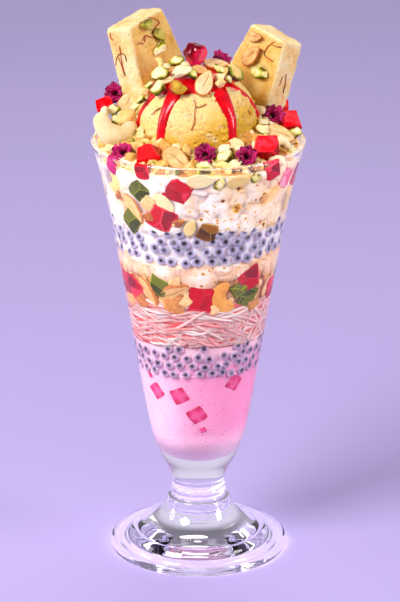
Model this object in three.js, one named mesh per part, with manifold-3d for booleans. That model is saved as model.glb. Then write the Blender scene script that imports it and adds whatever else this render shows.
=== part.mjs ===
// Kulfi falooda in its footed sundae glass.
//
// A pressed glass with a domed foot, a short ringed stem and a flared bowl holds, from the bottom up:
// rose milk, soaked basil seeds, pink falooda noodles, a bed of jelly and nuts, white cream, a second
// band of basil seeds and a deep layer of cream with fruit. On top sit a ball of mango kulfi, two slabs
// of malai kulfi pushed in behind it, and a ring of cashews, almond halves, pistachios, jelly cubes and
// dried rosebuds, with a glace cherry at the very top.
//
// Millimetres and degrees. +Z is up, the origin is on the floor at the centre of the foot, and -Y is the
// front. An angle on the glass is measured from the front, positive towards +X.
import * as THREE from "three";
import { mergeVertices } from "three/addons/utils/BufferGeometryUtils.js";
import Module from "manifold-3d";

const wasm = await Module();
wasm.setup();

// ---- Driving dimensions ----
const GLASS_HEIGHT = 194.8;
const RIM_RADIUS = 47.5;
const FOOT_RADIUS = 40.8;
const STEM_RADIUS = 11.8;
const RIM_WALL = 2.0; // wall thickness at the rim
const BASE_WALL = 2.8; // wall thickness low in the bowl
const SCOOP_RADIUS = 26.7;
const SCOOP_CENTRE_Z = 200;
const GAP = 0.3; // clearance between touching pieces
const SEGMENTS = 28; // facets round the glass and its layers

const deg = THREE.MathUtils.degToRad;

// ---- Bowl: a straight cone that flares at the rim and tucks in above the stem ----
const CONE_Z = 82; // where the cone has CONE_RADIUS
const CONE_RADIUS = 26.1;
const CONE_TAPER = 0.1647;
const FLARE = { depth: 3.2, reach: 18 };
const TUCK = { z: 41, depth: 4.3, reach: 9 };
const CAVITY_FLOOR_Z = 46.5;
const CAVITY_TURN_Z = 60; // the round bottom of the cavity meets the cone here
const LIP_Z = GLASS_HEIGHT - 1.2;

function outerRadius(z) {
  const flare = FLARE.depth * Math.exp((z - GLASS_HEIGHT) / FLARE.reach);
  const tuck = TUCK.depth * Math.exp((TUCK.z - z) / TUCK.reach);
  return CONE_RADIUS + CONE_TAPER * (z - CONE_Z) + flare - tuck;
}

function wallThickness(z) {
  const share = (z - CAVITY_TURN_Z) / (GLASS_HEIGHT - CAVITY_TURN_Z);
  return THREE.MathUtils.lerp(BASE_WALL, RIM_WALL, THREE.MathUtils.clamp(share, 0, 1));
}

function cavityRadius(z) {
  if (z >= CAVITY_TURN_Z) return outerRadius(z) - wallThickness(z);
  const turnRadius = outerRadius(CAVITY_TURN_Z) - BASE_WALL;
  const drop = (CAVITY_TURN_Z - z) / (CAVITY_TURN_Z - CAVITY_FLOOR_Z);
  return turnRadius * Math.sqrt(Math.max(0, 1 - drop * drop));
}

// ---- Shape helpers ----
function steps(from, to, count) {
  return Array.from({ length: count + 1 }, (_, i) => from + ((to - from) * i) / count);
}

function point(radius, height) {
  return new THREE.Vector2(radius, height);
}

// A solid of revolution about +Z. The outline runs from the axis, out and up, and back to the axis.
function revolve(outline, segments = SEGMENTS) {
  return new THREE.LatheGeometry(outline, segments).rotateX(Math.PI / 2);
}

function material(name, colour, roughness, extra = {}) {
  return new THREE.MeshStandardMaterial({ name, color: colour, roughness, metalness: 0, ...extra });
}

function named(name, geometry, finish) {
  const mesh = new THREE.Mesh(geometry, finish);
  mesh.name = name;
  return mesh;
}

const finishes = {
  glass: material("glass", 0xf2f5f8, 0.03, { transparent: true, opacity: 0.35 }),
  roseMilk: material("rose_milk", 0xf7a9c8, 0.35),
  basilSeed: material("basil_seed", 0x8d84a3, 0.3),
  noodle: material("noodle", 0xf6cfcb, 0.4),
  fruitBed: material("fruit_bed", 0xe8b070, 0.5),
  cream: material("cream", 0xf6ece4, 0.45),
  nutHeap: material("nut_heap", 0xe2c182, 0.6),
  mangoKulfi: material("mango_kulfi", 0xecc961, 0.5),
  malaiKulfi: material("malai_kulfi", 0xefd59c, 0.55),
  cashew: material("cashew", 0xf3d9ab, 0.5),
  almond: material("almond", 0xe6bf8c, 0.55),
  pistachio: material("pistachio", 0xb7b84a, 0.5),
  jelly: material("red_jelly", 0xd90a1e, 0.12),
  rosebud: material("rosebud", 0xa80d54, 0.7),
  cherry: material("glace_cherry", 0xc00520, 0.1),
};

// The round bottom of the cavity, drawn in from the wall and up from the floor by the inset.
function floorCurve(inset) {
  const rise = CAVITY_TURN_Z - CAVITY_FLOOR_Z;
  return steps(15, 75, 4).map((angle) => {
    const z = CAVITY_TURN_Z - rise * Math.cos(deg(angle));
    return point(cavityRadius(z) - inset * Math.sin(deg(angle)), z + inset * Math.cos(deg(angle)));
  });
}

// ---- Glass ----
function glassOutline() {
  const underside = [point(0, 3), point(31.5, 1.6), point(34, 0), point(38.6, 0)];
  const footEdge = [point(40.2, 0.8), point(FOOT_RADIUS, 2.4), point(40.1, 4)];
  const footTop = [point(34, 5.3), point(31.2, 6.4), point(29.4, 8.8), point(25.5, 11)];
  const dome = [point(20.5, 14), point(17, 17.8), point(15, 21.5), point(14.1, 24.2)];
  const stem = [
    point(12.7, 25.4),
    point(12.2, 27.4),
    point(12.5, 29.4),
    point(STEM_RADIUS, 31.6),
    point(12.3, 34.8),
    point(13.9, 38.4),
  ];
  const outside = [TUCK.z, 46, 53, 62, 80, 120, 160, 180, LIP_Z];
  const inside = [LIP_Z, 180, 160, 120, 80, CAVITY_TURN_Z];
  return [
    ...underside,
    ...footEdge,
    ...footTop,
    ...dome,
    ...stem,
    ...outside.map((z) => point(outerRadius(z), z)),
    point(RIM_RADIUS - 0.5, GLASS_HEIGHT),
    point(RIM_RADIUS - 1.5, GLASS_HEIGHT),
    ...inside.map((z) => point(cavityRadius(z), z)),
    ...floorCurve(0).reverse(),
    point(0, CAVITY_FLOOR_Z),
  ];
}

// ---- Layers: each runs right through the bowl and meets the next at a gently waved level ----
// lift and phase describe one long wave and one shorter wave round the wall.
const LEVELS = {
  milk: { z: 91, lift: 0.7, phase: 10 },
  lowerSeeds: { z: 105.2, lift: 0.9, phase: 35 },
  noodles: { z: 126.5, lift: 1.0, phase: 300 },
  fruit: { z: 138.5, lift: 1.2, phase: 120 },
  lowerCream: { z: 148, lift: 1.7, phase: 205 },
  upperSeeds: { z: 162.3, lift: 1.5, phase: 20 },
  upperCream: { z: 189.2, lift: 0.8, phase: 80 },
};

function levelAt(level, angle) {
  const long = Math.cos(angle - deg(level.phase));
  const short = 0.45 * Math.cos(3 * angle + deg(level.phase));
  return level.z + level.lift * (long + short);
}

// A disc of the filling between two levels. Its side follows the cavity, GAP inside the glass.
function layer(lower, upper, sideSteps) {
  const shares = steps(0, 1, sideSteps);
  const outline = [point(0, 0), ...shares.map((share) => point(1, share)), point(0, 1)];
  const geometry = revolve(outline);
  const position = geometry.attributes.position;
  for (let i = 0; i < position.count; i++) {
    const [x, y, share] = [position.getX(i), position.getY(i), position.getZ(i)];
    const onAxis = Math.hypot(x, y) < 0.5;
    const angle = Math.atan2(x, -y);
    const low = (onAxis ? lower.z : levelAt(lower, angle)) + GAP / 2;
    const high = (onAxis ? upper.z : levelAt(upper, angle)) - GAP / 2;
    const z = THREE.MathUtils.lerp(low, high, share);
    const radius = onAxis ? 0 : cavityRadius(z) - GAP;
    position.setXYZ(i, radius * x, radius * y, z);
  }
  return geometry;
}

// The milk fills the round bottom of the cavity up to its level.
function milkPool() {
  const side = [CAVITY_TURN_Z, 80].map((z) => point(cavityRadius(z) - GAP, z));
  const top = [point(1, LEVELS.milk.z), point(0, LEVELS.milk.z - GAP / 2)];
  const geometry = revolve([point(0, CAVITY_FLOOR_Z + GAP), ...floorCurve(GAP), ...side, ...top]);
  const position = geometry.attributes.position;
  for (let i = 0; i < position.count; i++) {
    const [x, y] = [position.getX(i), position.getY(i)];
    if (position.getZ(i) !== LEVELS.milk.z) continue;
    const z = levelAt(LEVELS.milk, Math.atan2(x, -y)) - GAP / 2;
    const radius = cavityRadius(z) - GAP;
    position.setXYZ(i, radius * x, radius * y, z);
  }
  return geometry;
}

// ---- Nut heap: the bed of small nuts that fills the mouth of the glass round the scoop ----
const HEAP = { wallZ: 192.2, front: 195.5, back: 206, bump: 1.1 };

// Height of the heap from the wall (share 0) in to the scoop (share 1); it is highest behind the scoop.
function heapTop(share, angle) {
  const towardsBack = (1 - Math.cos(angle)) / 2;
  const inner = THREE.MathUtils.lerp(HEAP.front, HEAP.back, Math.sqrt(towardsBack));
  const bumps = HEAP.bump * Math.sin(7 * angle + 9 * share) * Math.cos(4 * angle - 5 * share);
  const rise = Math.sin((share * Math.PI) / 2) ** 0.7;
  return THREE.MathUtils.lerp(HEAP.wallZ, inner, rise) + bumps * Math.min(1, 3 * share);
}

function nutHeap() {
  const ringShares = [0, 0.4, 1]; // from the wall in to the scoop
  const innerRadius = SCOOP_RADIUS * 0.8;
  const top = ringShares.map((share) => point(1 - share / 2, 1 + share));
  const outline = [point(0, 0), point(1, 0), ...top, point(0, 2)];
  const geometry = revolve(outline);
  const position = geometry.attributes.position;
  for (let i = 0; i < position.count; i++) {
    const [x, y, code] = [position.getX(i), position.getY(i), position.getZ(i)];
    const unit = Math.hypot(x, y);
    const angle = Math.atan2(x, -y);
    const low = (unit < 0.1 ? LEVELS.upperCream.z : levelAt(LEVELS.upperCream, angle)) + GAP / 2;
    const share = Math.max(0, code - 1);
    const z = code < 0.5 ? low : heapTop(share, unit < 0.1 ? 0 : angle);
    const wall = cavityRadius(z) - GAP;
    const radius = unit < 0.1 ? 0 : THREE.MathUtils.lerp(wall, innerRadius, share);
    position.setXYZ(i, (radius * x) / (unit || 1), (radius * y) / (unit || 1), z);
  }
  return geometry;
}

// ---- Toppings. Each takes a grow allowance, which gives the slightly larger cutter that clears it ----

// A crescent in the local XY plane, open towards +Y.
function cashew({ length, grow = 0 }) {
  const bend = 0.3 * length; // radius of the centreline
  const fat = 0.215 * length + grow;
  const [rings, sides, arc] = [8, 7, deg(205)];
  const positions = [];
  const tip = (angle, push) => [
    bend * Math.cos(angle) - push * Math.sin(angle),
    bend * Math.sin(angle) + push * Math.cos(angle),
    0,
  ];
  const start = -Math.PI / 2 - arc / 2;
  for (const share of steps(0, 1, rings - 1)) {
    const angle = start + arc * share;
    const end = Math.abs(2 * share - 1);
    const thick = fat * (0.62 + 0.38 * Math.sqrt(1 - end * end * 0.94)) * (share < 0.5 ? 1 : 1 - 0.1 * end);
    for (let k = 0; k < sides; k++) {
      const turn = (2 * Math.PI * k) / sides;
      const radius = bend + thick * Math.cos(turn);
      positions.push([radius * Math.cos(angle), radius * Math.sin(angle), 0.86 * thick * Math.sin(turn)]);
    }
  }
  positions.push(tip(start, -0.42 * fat), tip(start + arc, 0.42 * fat));
  return tube(positions, rings, sides);
}

// Joins rings of points, listed ring by ring and closed by one point before and one after, into a solid.
function tube(points, rings, sides) {
  const index = [];
  const [first, last] = [rings * sides, rings * sides + 1];
  for (let k = 0; k < sides; k++) {
    const next = (k + 1) % sides;
    index.push(first, k, next);
    index.push(last, (rings - 1) * sides + next, (rings - 1) * sides + k);
    for (let ring = 0; ring < rings - 1; ring++) {
      const [a, b] = [ring * sides + k, ring * sides + next];
      index.push(a, a + sides, b, b, a + sides, b + sides);
    }
  }
  return new THREE.BufferGeometry()
    .setAttribute("position", new THREE.BufferAttribute(new Float32Array(points.flat()), 3))
    .setIndex(index);
}

// Stacked outlines (height, share of the outline's size) joined into a solid. squeeze points one end.
function stack({ length, width, levels, sides, squeeze = 0 }) {
  const rings = levels.slice(1, -1);
  const points = rings.flatMap(({ z, share }) =>
    Array.from({ length: sides }, (_, k) => {
      const turn = (2 * Math.PI * k) / sides;
      const x = Math.cos(turn);
      return [0.5 * length * share * x, 0.5 * width * share * Math.sin(turn) * (1 - squeeze * x), z];
    }),
  );
  points.push([0, 0, levels[0].z], [0, 0, levels[levels.length - 1].z]);
  return tube(points, rings.length, sides);
}

// Half a blanched almond: flat cut face up (+Z), domed back, pointed towards +X.
function almond({ length, grow = 0 }) {
  const thick = 0.24 * length;
  const levels = [
    { z: grow },
    { z: grow, share: 0.9 },
    { z: -0.2 * thick, share: 1 },
    { z: -0.7 * thick - grow, share: 0.72 },
    { z: -thick - grow },
  ];
  const size = { length: length + 2 * grow, width: 0.66 * length + 2 * grow };
  return stack({ ...size, levels, sides: 10, squeeze: 0.22 });
}

// A chopped pistachio kernel: a plump oval with a flat cut on top.
function pistachio({ length, grow = 0 }) {
  const half = 0.24 * length + grow;
  const levels = [
    { z: half },
    { z: half, share: 0.62 },
    { z: 0.3 * half, share: 1 },
    { z: -0.55 * half, share: 0.84 },
    { z: -half },
  ];
  const size = { length: length + 2 * grow, width: 0.58 * length + 2 * grow };
  return stack({ ...size, levels, sides: 8, squeeze: 0.12 });
}

// An irregular cube of firm jelly: a box whose corners are pulled about by a fixed pattern.
function jelly({ length, depth = 0.78, skew = 0, grow = 0 }) {
  const size = length + 2 * grow;
  const geometry = mergeVertices(stripped(new THREE.BoxGeometry(size, size * 0.82, size * depth)));
  const position = geometry.attributes.position;
  for (let i = 0; i < position.count; i++) {
    const pull = (axis) => 0.055 * length * Math.sin(5.1 * i + 2.3 * axis + 7 * skew);
    position.setXYZ(i, position.getX(i) + pull(0), position.getY(i) + pull(1), position.getZ(i) + pull(2));
  }
  return geometry;
}

// A dried rosebud: a pinched cup of petals opening towards +Z.
function rosebud({ length, grow = 0 }) {
  const [radius, height] = [length / 2 + grow, 0.36 * length + grow];
  const outline = [
    point(0, -height),
    point(0.5 * radius, -0.85 * height),
    point(0.82 * radius, 0),
    point(radius, height),
    point(0.5 * radius, 0.55 * height + 0.4 * grow),
    point(0, 0.1 * height + grow),
  ];
  return revolve(outline, 9);
}

function ball({ length, grow = 0 }) {
  return new THREE.SphereGeometry(length / 2 + grow, 12, 8).rotateX(Math.PI / 2);
}

function scoopBall({ grow = 0 }) {
  return new THREE.SphereGeometry(SCOOP_RADIUS + grow, 20, 12).rotateX(Math.PI / 2);
}

// A slab of kulfi from a tapered mould: narrow end up (+Z), broad face across X, origin at the top.
const SLAB = { taper: 0.145, thick: 14.2, corner: 1.4 };

function kulfiSlab({ width, length, grow = 0 }) {
  const half = width / 2 + grow;
  const spread = SLAB.taper * length;
  const thick = SLAB.thick + 2 * grow;
  const bevel = SLAB.corner;
  const outline = new THREE.Shape([
    point(-half + bevel, grow - bevel),
    point(-half - spread + bevel, -length - grow + bevel),
    point(half + spread - bevel, -length - grow + bevel),
    point(half - bevel, grow - bevel),
  ]);
  const rounding = { bevelThickness: bevel, bevelSize: bevel, bevelSegments: 2 };
  return new THREE.ExtrudeGeometry(outline, { depth: thick - 2 * bevel, ...rounding })
    .translate(0, 0, bevel - thick / 2)
    .rotateX(Math.PI / 2);
}

// ---- Where each topping lies ----
// Position: angle from the front, distance from the axis, height. Pose: the way its face looks (azimuth
// from the front), how far the face leans out from straight up, and its spin in its own plane.
const shapes = { cashew, almond, pistachio, jelly, rosebud, cherry: ball };

const TOPPINGS = [
  // left of the scoop, back to front
  ["rosebud_left_back", "rosebud", 8.4, [-116, 41, 210], [-30, 62, 0]],
  ["jelly_left_rim", "jelly", 7.8, [-105, 42.6, 206.4], [-30, 30, 40]],
  ["almond_left", "almond", 12.4, [-110, 33.4, 208.4], [-14, 68, 58]],
  ["pistachio_left_high", "pistachio", 7.4, [-102, 39, 205.4], [-20, 46, 10]],
  ["pistachio_left_low", "pistachio", 6.6, [-97, 36.6, 201.6], [0, 50, -30]],
  ["cashew_left_back", "cashew", 11, [-97.5, 43.6, 203.4], [-70, 66, 90]],
  ["cashew_left", "cashew", 22.5, [-78.1, 36.7, 205], [21.4, 68.3, -21]],
  ["pistachio_left_inner", "pistachio", 8.4, [-104, 31.6, 202.6], [-10, 50, 14]],
  // front, left to right
  ["rosebud_front_left", "rosebud", 8.4, [-54.6, 39.8, 194.8], [-25, 44, 0]],
  ["jelly_front_left", "jelly", 11.4, [-35.2, 36.8, 194.4], [-18, 30, 14]],
  ["almond_front", "almond", 14.8, [-14.4, 37.6, 196], [-6, 62, -32]],
  ["rosebud_front", "rosebud", 8.4, [5, 34, 197], [3, 55, 0]],
  ["pistachio_front_rim", "pistachio", 8.6, [4, 41, 193.6], [0, 25, 0]],
  ["pistachio_front_right", "pistachio", 9.6, [17.5, 36.2, 196], [10, 48, 30]],
  ["pistachio_right_rim", "pistachio", 8, [23, 41, 193.4], [20, 30, 10]],
  ["rosebud_front_right", "rosebud", 8.8, [31, 40, 196], [14, 52, 0]],
  ["jelly_front_right", "jelly", 11.2, [50, 37.2, 196.6], [30, 34, -10]],
  // right of the scoop, front to back
  ["cashew_right_bit", "cashew", 7.4, [42, 33, 198.8], [10, 40, 30]],
  ["cashew_right_rim", "cashew", 9.6, [69, 39.2, 194.8], [28, 66, 168]],
  ["cashew_right_far", "cashew", 9.2, [79, 40.4, 193.8], [34, 62, 200]],
  ["almond_right", "almond", 13.6, [72, 38, 200.2], [20, 50, -32]],
  ["pistachio_right_far", "pistachio", 8, [85, 42.4, 198.2], [40, 40, 20]],
  ["cashew_right_inner", "cashew", 8.4, [81, 30.4, 200.6], [20, 60, 60]],
  ["pistachio_right_inner", "pistachio", 7.4, [64, 30.4, 197.8], [20, 50, -30]],
  ["jelly_right_rim", "jelly", 9, [97, 41, 200.4], [14, 34, -6]],
  ["rosebud_right", "rosebud", 9, [100, 33, 203.4], [16, 60, 0]],
  ["jelly_right_back", "jelly", 8, [120, 41.2, 203], [60, 30, 30]],
  // behind the slabs
  ["cashew_back_right", "cashew", 16.5, [163, 38.5, 201.6], [172, 58, 12]],
  ["almond_back", "almond", 12.8, [-176, 34.6, 205.6], [176, 52, 24]],
  ["jelly_back", "jelly", 9.8, [-162, 37.6, 200.4], [-172, 36, 20]],
  ["rosebud_back", "rosebud", 8.2, [178, 41, 200], [180, 44, 0]],
  // on the crown of the scoop
  ["glace_cherry", "cherry", 10.8, [-40, 2.2, 233.4], [0, 0, 0]],
  ["pistachio_crown_pale", "pistachio", 10, [-33, 13, 228], [-10, 52, 8]],
  ["pistachio_crown_high", "pistachio", 7.6, [-84, 9.4, 230], [-20, 50, 20]],
  ["pistachio_crown_left", "pistachio", 8.4, [-66, 18, 225.6], [-30, 46, 22]],
  ["pistachio_crown_low", "pistachio", 8.4, [-52, 21.8, 221.4], [-28, 50, 48]],
  ["pistachio_crown_dark", "pistachio", 9.2, [-24, 20.8, 222.6], [-14, 44, -8]],
  ["almond_crown", "almond", 12.8, [9, 17.6, 225], [4, 58, 66]],
  ["almond_crown_back", "almond", 11.6, [90, 8, 229], [20, 24, -14]],
  ["pistachio_crown_right", "pistachio", 9.6, [66, 17.2, 226.4], [30, 56, 100]],
  ["rosebud_crown", "rosebud", 8, [124, 11.4, 228.6], [60, 30, 0]],
];

// Slabs: the middle of the top end, the length down to the heap, the way the broad face looks and the lean.
const SLABS = [
  { name: "kulfi_slab_left", top: [-28.6, 23.6, 243.3], width: 24, length: 47, azimuth: 50, lean: -17.5 },
  { name: "kulfi_slab_right", top: [35.1, 22, 236.6], width: 20.4, length: 40, azimuth: -40.5, lean: 21 },
];

// Nuts stuck on the broad faces: offset across and down from the slab's top, and spin.
const STUDS = [
  ["pistachio_slab_left_top", "pistachio", 8.2, "kulfi_slab_left", [-1.6, -3.4], -8],
  ["pistachio_slab_left_mid", "pistachio", 7, "kulfi_slab_left", [3.2, -9.8], -64],
  ["pistachio_slab_left_low", "pistachio", 8.2, "kulfi_slab_left", [0.6, -16], 26],
  ["almond_slab_right_top", "almond", 8, "kulfi_slab_right", [-4.8, -4.2], 20],
  ["almond_slab_right", "almond", 11.4, "kulfi_slab_right", [-2.4, -12.2], 64],
  ["pistachio_slab_right", "pistachio", 9.6, "kulfi_slab_right", [4.6, -17.2], 14],
];

// ---- Solids: carving one piece clear of its neighbours ----
function stripped(geometry) {
  const bare = geometry.clone();
  bare.deleteAttribute("normal");
  bare.deleteAttribute("uv");
  return bare;
}

function solidOf(geometry) {
  const merged = mergeVertices(stripped(geometry), 1e-3);
  return new wasm.Manifold(
    new wasm.Mesh({
      numProp: 3,
      vertProperties: merged.attributes.position.array,
      triVerts: new Uint32Array(merged.index.array),
    }),
  );
}

function geometryOf(solid) {
  const mesh = solid.getMesh();
  const position = new Float32Array(mesh.numVert * 3);
  for (let i = 0; i < mesh.numVert; i++) {
    position.set(mesh.vertProperties.subarray(i * mesh.numProp, i * mesh.numProp + 3), i * 3);
  }
  return new THREE.BufferGeometry()
    .setAttribute("position", new THREE.BufferAttribute(position, 3))
    .setIndex(new THREE.BufferAttribute(mesh.triVerts, 1));
}

// Removes the grown shapes of the given pieces from a mesh, working in the mesh's own frame.
function carve(mesh, others) {
  mesh.updateWorldMatrix(true, false);
  const toLocal = mesh.matrixWorld.clone().invert();
  const reach = new THREE.Box3().setFromObject(mesh).expandByScalar(GAP);
  let solid = solidOf(mesh.geometry);
  for (const other of others) {
    other.updateWorldMatrix(true, false);
    if (!reach.intersectsBox(new THREE.Box3().setFromObject(other))) continue;
    const cutter = other.userData.cutter.clone().applyMatrix4(other.matrixWorld).applyMatrix4(toLocal);
    solid = solid.subtract(solidOf(cutter));
  }
  const largest = solid.decompose().sort((a, b) => b.volume() - a.volume())[0];
  mesh.geometry = geometryOf(largest);
}

// ---- Assembly ----
const falooda = new THREE.Group();
falooda.add(named("glass", revolve(glassOutline()), finishes.glass));

falooda.add(named("rose_milk", milkPool(), finishes.roseMilk));
falooda.add(named("basil_seeds_lower", layer(LEVELS.milk, LEVELS.lowerSeeds, 1), finishes.basilSeed));
falooda.add(named("falooda_noodles", layer(LEVELS.lowerSeeds, LEVELS.noodles, 1), finishes.noodle));
falooda.add(named("jelly_nut_bed", layer(LEVELS.noodles, LEVELS.fruit, 1), finishes.fruitBed));
falooda.add(named("cream_lower", layer(LEVELS.fruit, LEVELS.lowerCream, 1), finishes.cream));
falooda.add(named("basil_seeds_upper", layer(LEVELS.lowerCream, LEVELS.upperSeeds, 1), finishes.basilSeed));
const creamUpper = named("cream_upper", layer(LEVELS.upperSeeds, LEVELS.upperCream, 3), finishes.cream);
const heap = named("nut_heap", nutHeap(), finishes.nutHeap);

const scoop = named("kulfi_scoop", scoopBall({}), finishes.mangoKulfi);
scoop.position.z = SCOOP_CENTRE_Z;
scoop.userData.cutter = scoopBall({ grow: GAP });

const slabs = SLABS.map(({ name, top, width, length, azimuth, lean }) => {
  const slab = named(name, kulfiSlab({ width, length }), finishes.malaiKulfi);
  slab.position.set(...top);
  slab.rotateY(deg(lean));
  slab.rotateZ(deg(azimuth));
  slab.userData.cutter = kulfiSlab({ width, length, grow: GAP });
  return slab;
});

const studs = STUDS.map(([name, kind, length, slabName, [across, down], spin]) => {
  const stud = named(name, shapes[kind]({ length }), finishes[kind]);
  const sunk = kind === "almond" ? 0.24 * length : 0.14 * length;
  stud.position.set(across, -SLAB.thick / 2 - sunk - GAP, down);
  stud.rotateX(Math.PI / 2);
  stud.rotateZ(deg(spin));
  stud.userData.cutter = shapes[kind]({ length, grow: GAP });
  slabs.find((slab) => slab.name === slabName).add(stud);
  return stud;
});

const toppings = TOPPINGS.map(([name, kind, length, [angle, radius, z], [azimuth, tilt, spin]], i) => {
  const topping = named(name, shapes[kind]({ length, skew: i }), finishes[kind]);
  topping.position.set(radius * Math.sin(deg(angle)), -radius * Math.cos(deg(angle)), z);
  topping.rotateZ(deg(azimuth));
  topping.rotateX(deg(tilt));
  topping.rotateZ(deg(spin));
  topping.userData.cutter = shapes[kind]({ length, skew: i, grow: GAP });
  return topping;
});

for (const piece of [creamUpper, heap, scoop, ...slabs, ...toppings]) falooda.add(piece);

// The slabs press into the scoop, small toppings give way to larger ones, and cream and heap to all.
carve(scoop, slabs);
toppings.forEach((topping, i) => carve(topping, [scoop, ...slabs, ...studs, ...toppings.slice(0, i)]));
carve(creamUpper, [scoop, ...slabs, ...toppings]);
carve(heap, [scoop, ...slabs, ...toppings]);
for (const slab of slabs) carve(slab, studs);

export default falooda;
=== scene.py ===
# Kulfi falooda in its footed sundae glass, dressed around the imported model.
#
# Sizes are millimetres and degrees, and become metres where a mesh is made. +Z is up, the origin is on the
# floor under the middle of the foot, and -Y is the front. An angle on the glass is counted from the front,
# positive towards +X.
import math
from itertools import combinations

import bmesh
import bpy
import numpy as np
from mathutils import Euler, Matrix, noise


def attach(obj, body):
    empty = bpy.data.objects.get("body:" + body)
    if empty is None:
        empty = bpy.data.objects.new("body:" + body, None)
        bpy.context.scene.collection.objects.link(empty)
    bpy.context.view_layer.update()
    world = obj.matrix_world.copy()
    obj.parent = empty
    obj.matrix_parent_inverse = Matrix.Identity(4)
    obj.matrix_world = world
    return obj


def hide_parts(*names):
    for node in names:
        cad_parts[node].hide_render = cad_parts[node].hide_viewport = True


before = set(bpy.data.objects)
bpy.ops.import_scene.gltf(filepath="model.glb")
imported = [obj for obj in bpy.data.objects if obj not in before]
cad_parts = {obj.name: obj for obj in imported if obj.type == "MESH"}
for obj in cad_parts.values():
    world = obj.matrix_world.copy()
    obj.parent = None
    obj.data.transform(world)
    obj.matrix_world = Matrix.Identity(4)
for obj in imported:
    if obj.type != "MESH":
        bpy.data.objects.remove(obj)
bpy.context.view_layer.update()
scene = bpy.context.scene
NOISE_SEED = 7
noise.seed_set(NOISE_SEED)

# ---- Camera ----
# A long lens a little above the rim, straight in front of the glass and looking slightly down on it, so
# that the rim and the foot show as flat ellipses.
CAMERA_PLACE = (0.0007, -1.2837, 0.5724)
CAMERA_PITCH, CAMERA_LENS, CAMERA_FRAME = 70.52, 120.53, 24

camera = bpy.data.objects.new("camera", bpy.data.cameras.new("camera"))
camera.location = CAMERA_PLACE
camera.rotation_euler = (math.radians(CAMERA_PITCH), 0, 0)
camera.data.sensor_fit = "VERTICAL"
camera.data.sensor_height = CAMERA_FRAME
camera.data.lens = CAMERA_LENS
scene.collection.objects.link(camera)
scene.camera = camera
scene.view_settings.view_transform = "Standard"


# ---- Studio ----
# A wide pale floor, a large soft lamp high at the front left, a weaker one at the right and a soft one
# above and behind. The sky is dim in front and glows low down behind, which draws the edges of the glass.
class Nodes:
    """A node tree that is written out node by node."""

    def __init__(self, tree):
        self.tree = tree

    def add(self, kind, sockets=None, **settings):
        node = self.tree.nodes.new(kind)
        for name, value in settings.items():
            setattr(node, name, value)
        for name, value in (sockets or {}).items():
            if isinstance(value, bpy.types.NodeSocket):
                self.tree.links.new(value, node.inputs[name])
            else:
                node.inputs[name].default_value = value
        return node

    def maths(self, operation, first, second):
        return self.add("ShaderNodeMath", {0: first, 1: second}, operation=operation).outputs[0]

    def plus(self, first, second):
        return self.maths("ADD", first, second)

    def less(self, first, second):
        return self.maths("SUBTRACT", first, second)

    def times(self, first, second):
        return self.maths("MULTIPLY", first, second)

    def attribute(self, name):
        """A vector that the mesh carries."""
        return self.add("ShaderNodeAttribute", attribute_name=name).outputs["Vector"]


def colour(red, green, blue):
    """A shader colour from the 0 to 255 values of a paint card."""
    share = np.array([red, green, blue]) / 255
    linear = np.where(share <= 0.04045, share / 12.92, ((share + 0.055) / 1.055) ** 2.4)
    return (*linear.tolist(), 1.0)


class Finish(Nodes):
    """A material: one Principled surface and the nodes that vary its colour, gloss and bump."""

    def __init__(self, name, sockets):
        self.material = bpy.data.materials.new(name)
        self.material.use_nodes = True
        super().__init__(self.material.node_tree)
        self.surface = self.tree.nodes["Principled BSDF"]
        for socket, value in sockets.items():
            self.surface.inputs[socket].default_value = value
        self.place = self.add("ShaderNodeTexCoord").outputs["Object"]

    def axes(self):
        return self.add("ShaderNodeSeparateXYZ", {"Vector": self.place}).outputs

    def grain(self, size, detail=2.0, roughness=0.5):
        """Cloudy noise whose patches are about size millimetres across."""
        sockets = {"Vector": self.place, "Scale": 1000 / size, "Detail": detail, "Roughness": roughness}
        return self.add("ShaderNodeTexNoise", sockets).outputs["Fac"]

    def drift(self, swing, *grain):
        """Cloudy noise that swings about zero."""
        return self.times(self.less(self.grain(*grain), 0.5), swing)

    def cells(self, size):
        """Distance from the middle of irregular cells about size millimetres across."""
        sockets = {"Vector": self.place, "Scale": 1000 / size}
        return self.add("ShaderNodeTexVoronoi", sockets).outputs["Distance"]

    def mark(self, name, part=None):
        """A value that the mesh carries, or one part of it: 0, 1 or 2."""
        node = self.add("ShaderNodeAttribute", attribute_name=name)
        if part is None:
            return node.outputs["Fac"]
        return self.add("ShaderNodeSeparateXYZ", {"Vector": node.outputs["Vector"]}).outputs[part]

    def ramp(self, factor, stops):
        """A colour from a list of stops: each a place, then a colour or its 0 to 255 values."""
        node = self.add("ShaderNodeValToRGB", {"Fac": factor})
        elements = node.color_ramp.elements
        while len(elements) < len(stops):
            elements.new(0.5)
        for element, (place, *tint) in zip(elements, stops):
            element.position = place
            element.color = colour(*tint) if len(tint) == 3 else tint[0]
        return node.outputs["Color"]

    def steps(self, factor, low, high):
        """Rises from 0 to 1 as the factor goes from low to high."""
        sockets = {"Value": factor, "From Min": low, "From Max": high}
        return self.add("ShaderNodeMapRange", sockets, interpolation_type="SMOOTHSTEP").outputs["Result"]

    def blend(self, factor, below, above):
        """One colour laid over another, as strongly as the factor says."""
        return self.add("ShaderNodeMix", {0: factor, 6: below, 7: above}, data_type="RGBA").outputs[2]

    def paint(self, tint):
        self.tree.links.new(tint, self.surface.inputs["Base Color"])

    def bump(self, height, depth):
        """Relief too fine for the mesh, depth millimetres deep."""
        node = self.add("ShaderNodeBump", {"Height": height, "Distance": depth / 1000})
        self.tree.links.new(node.outputs["Normal"], self.surface.inputs["Normal"])


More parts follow.
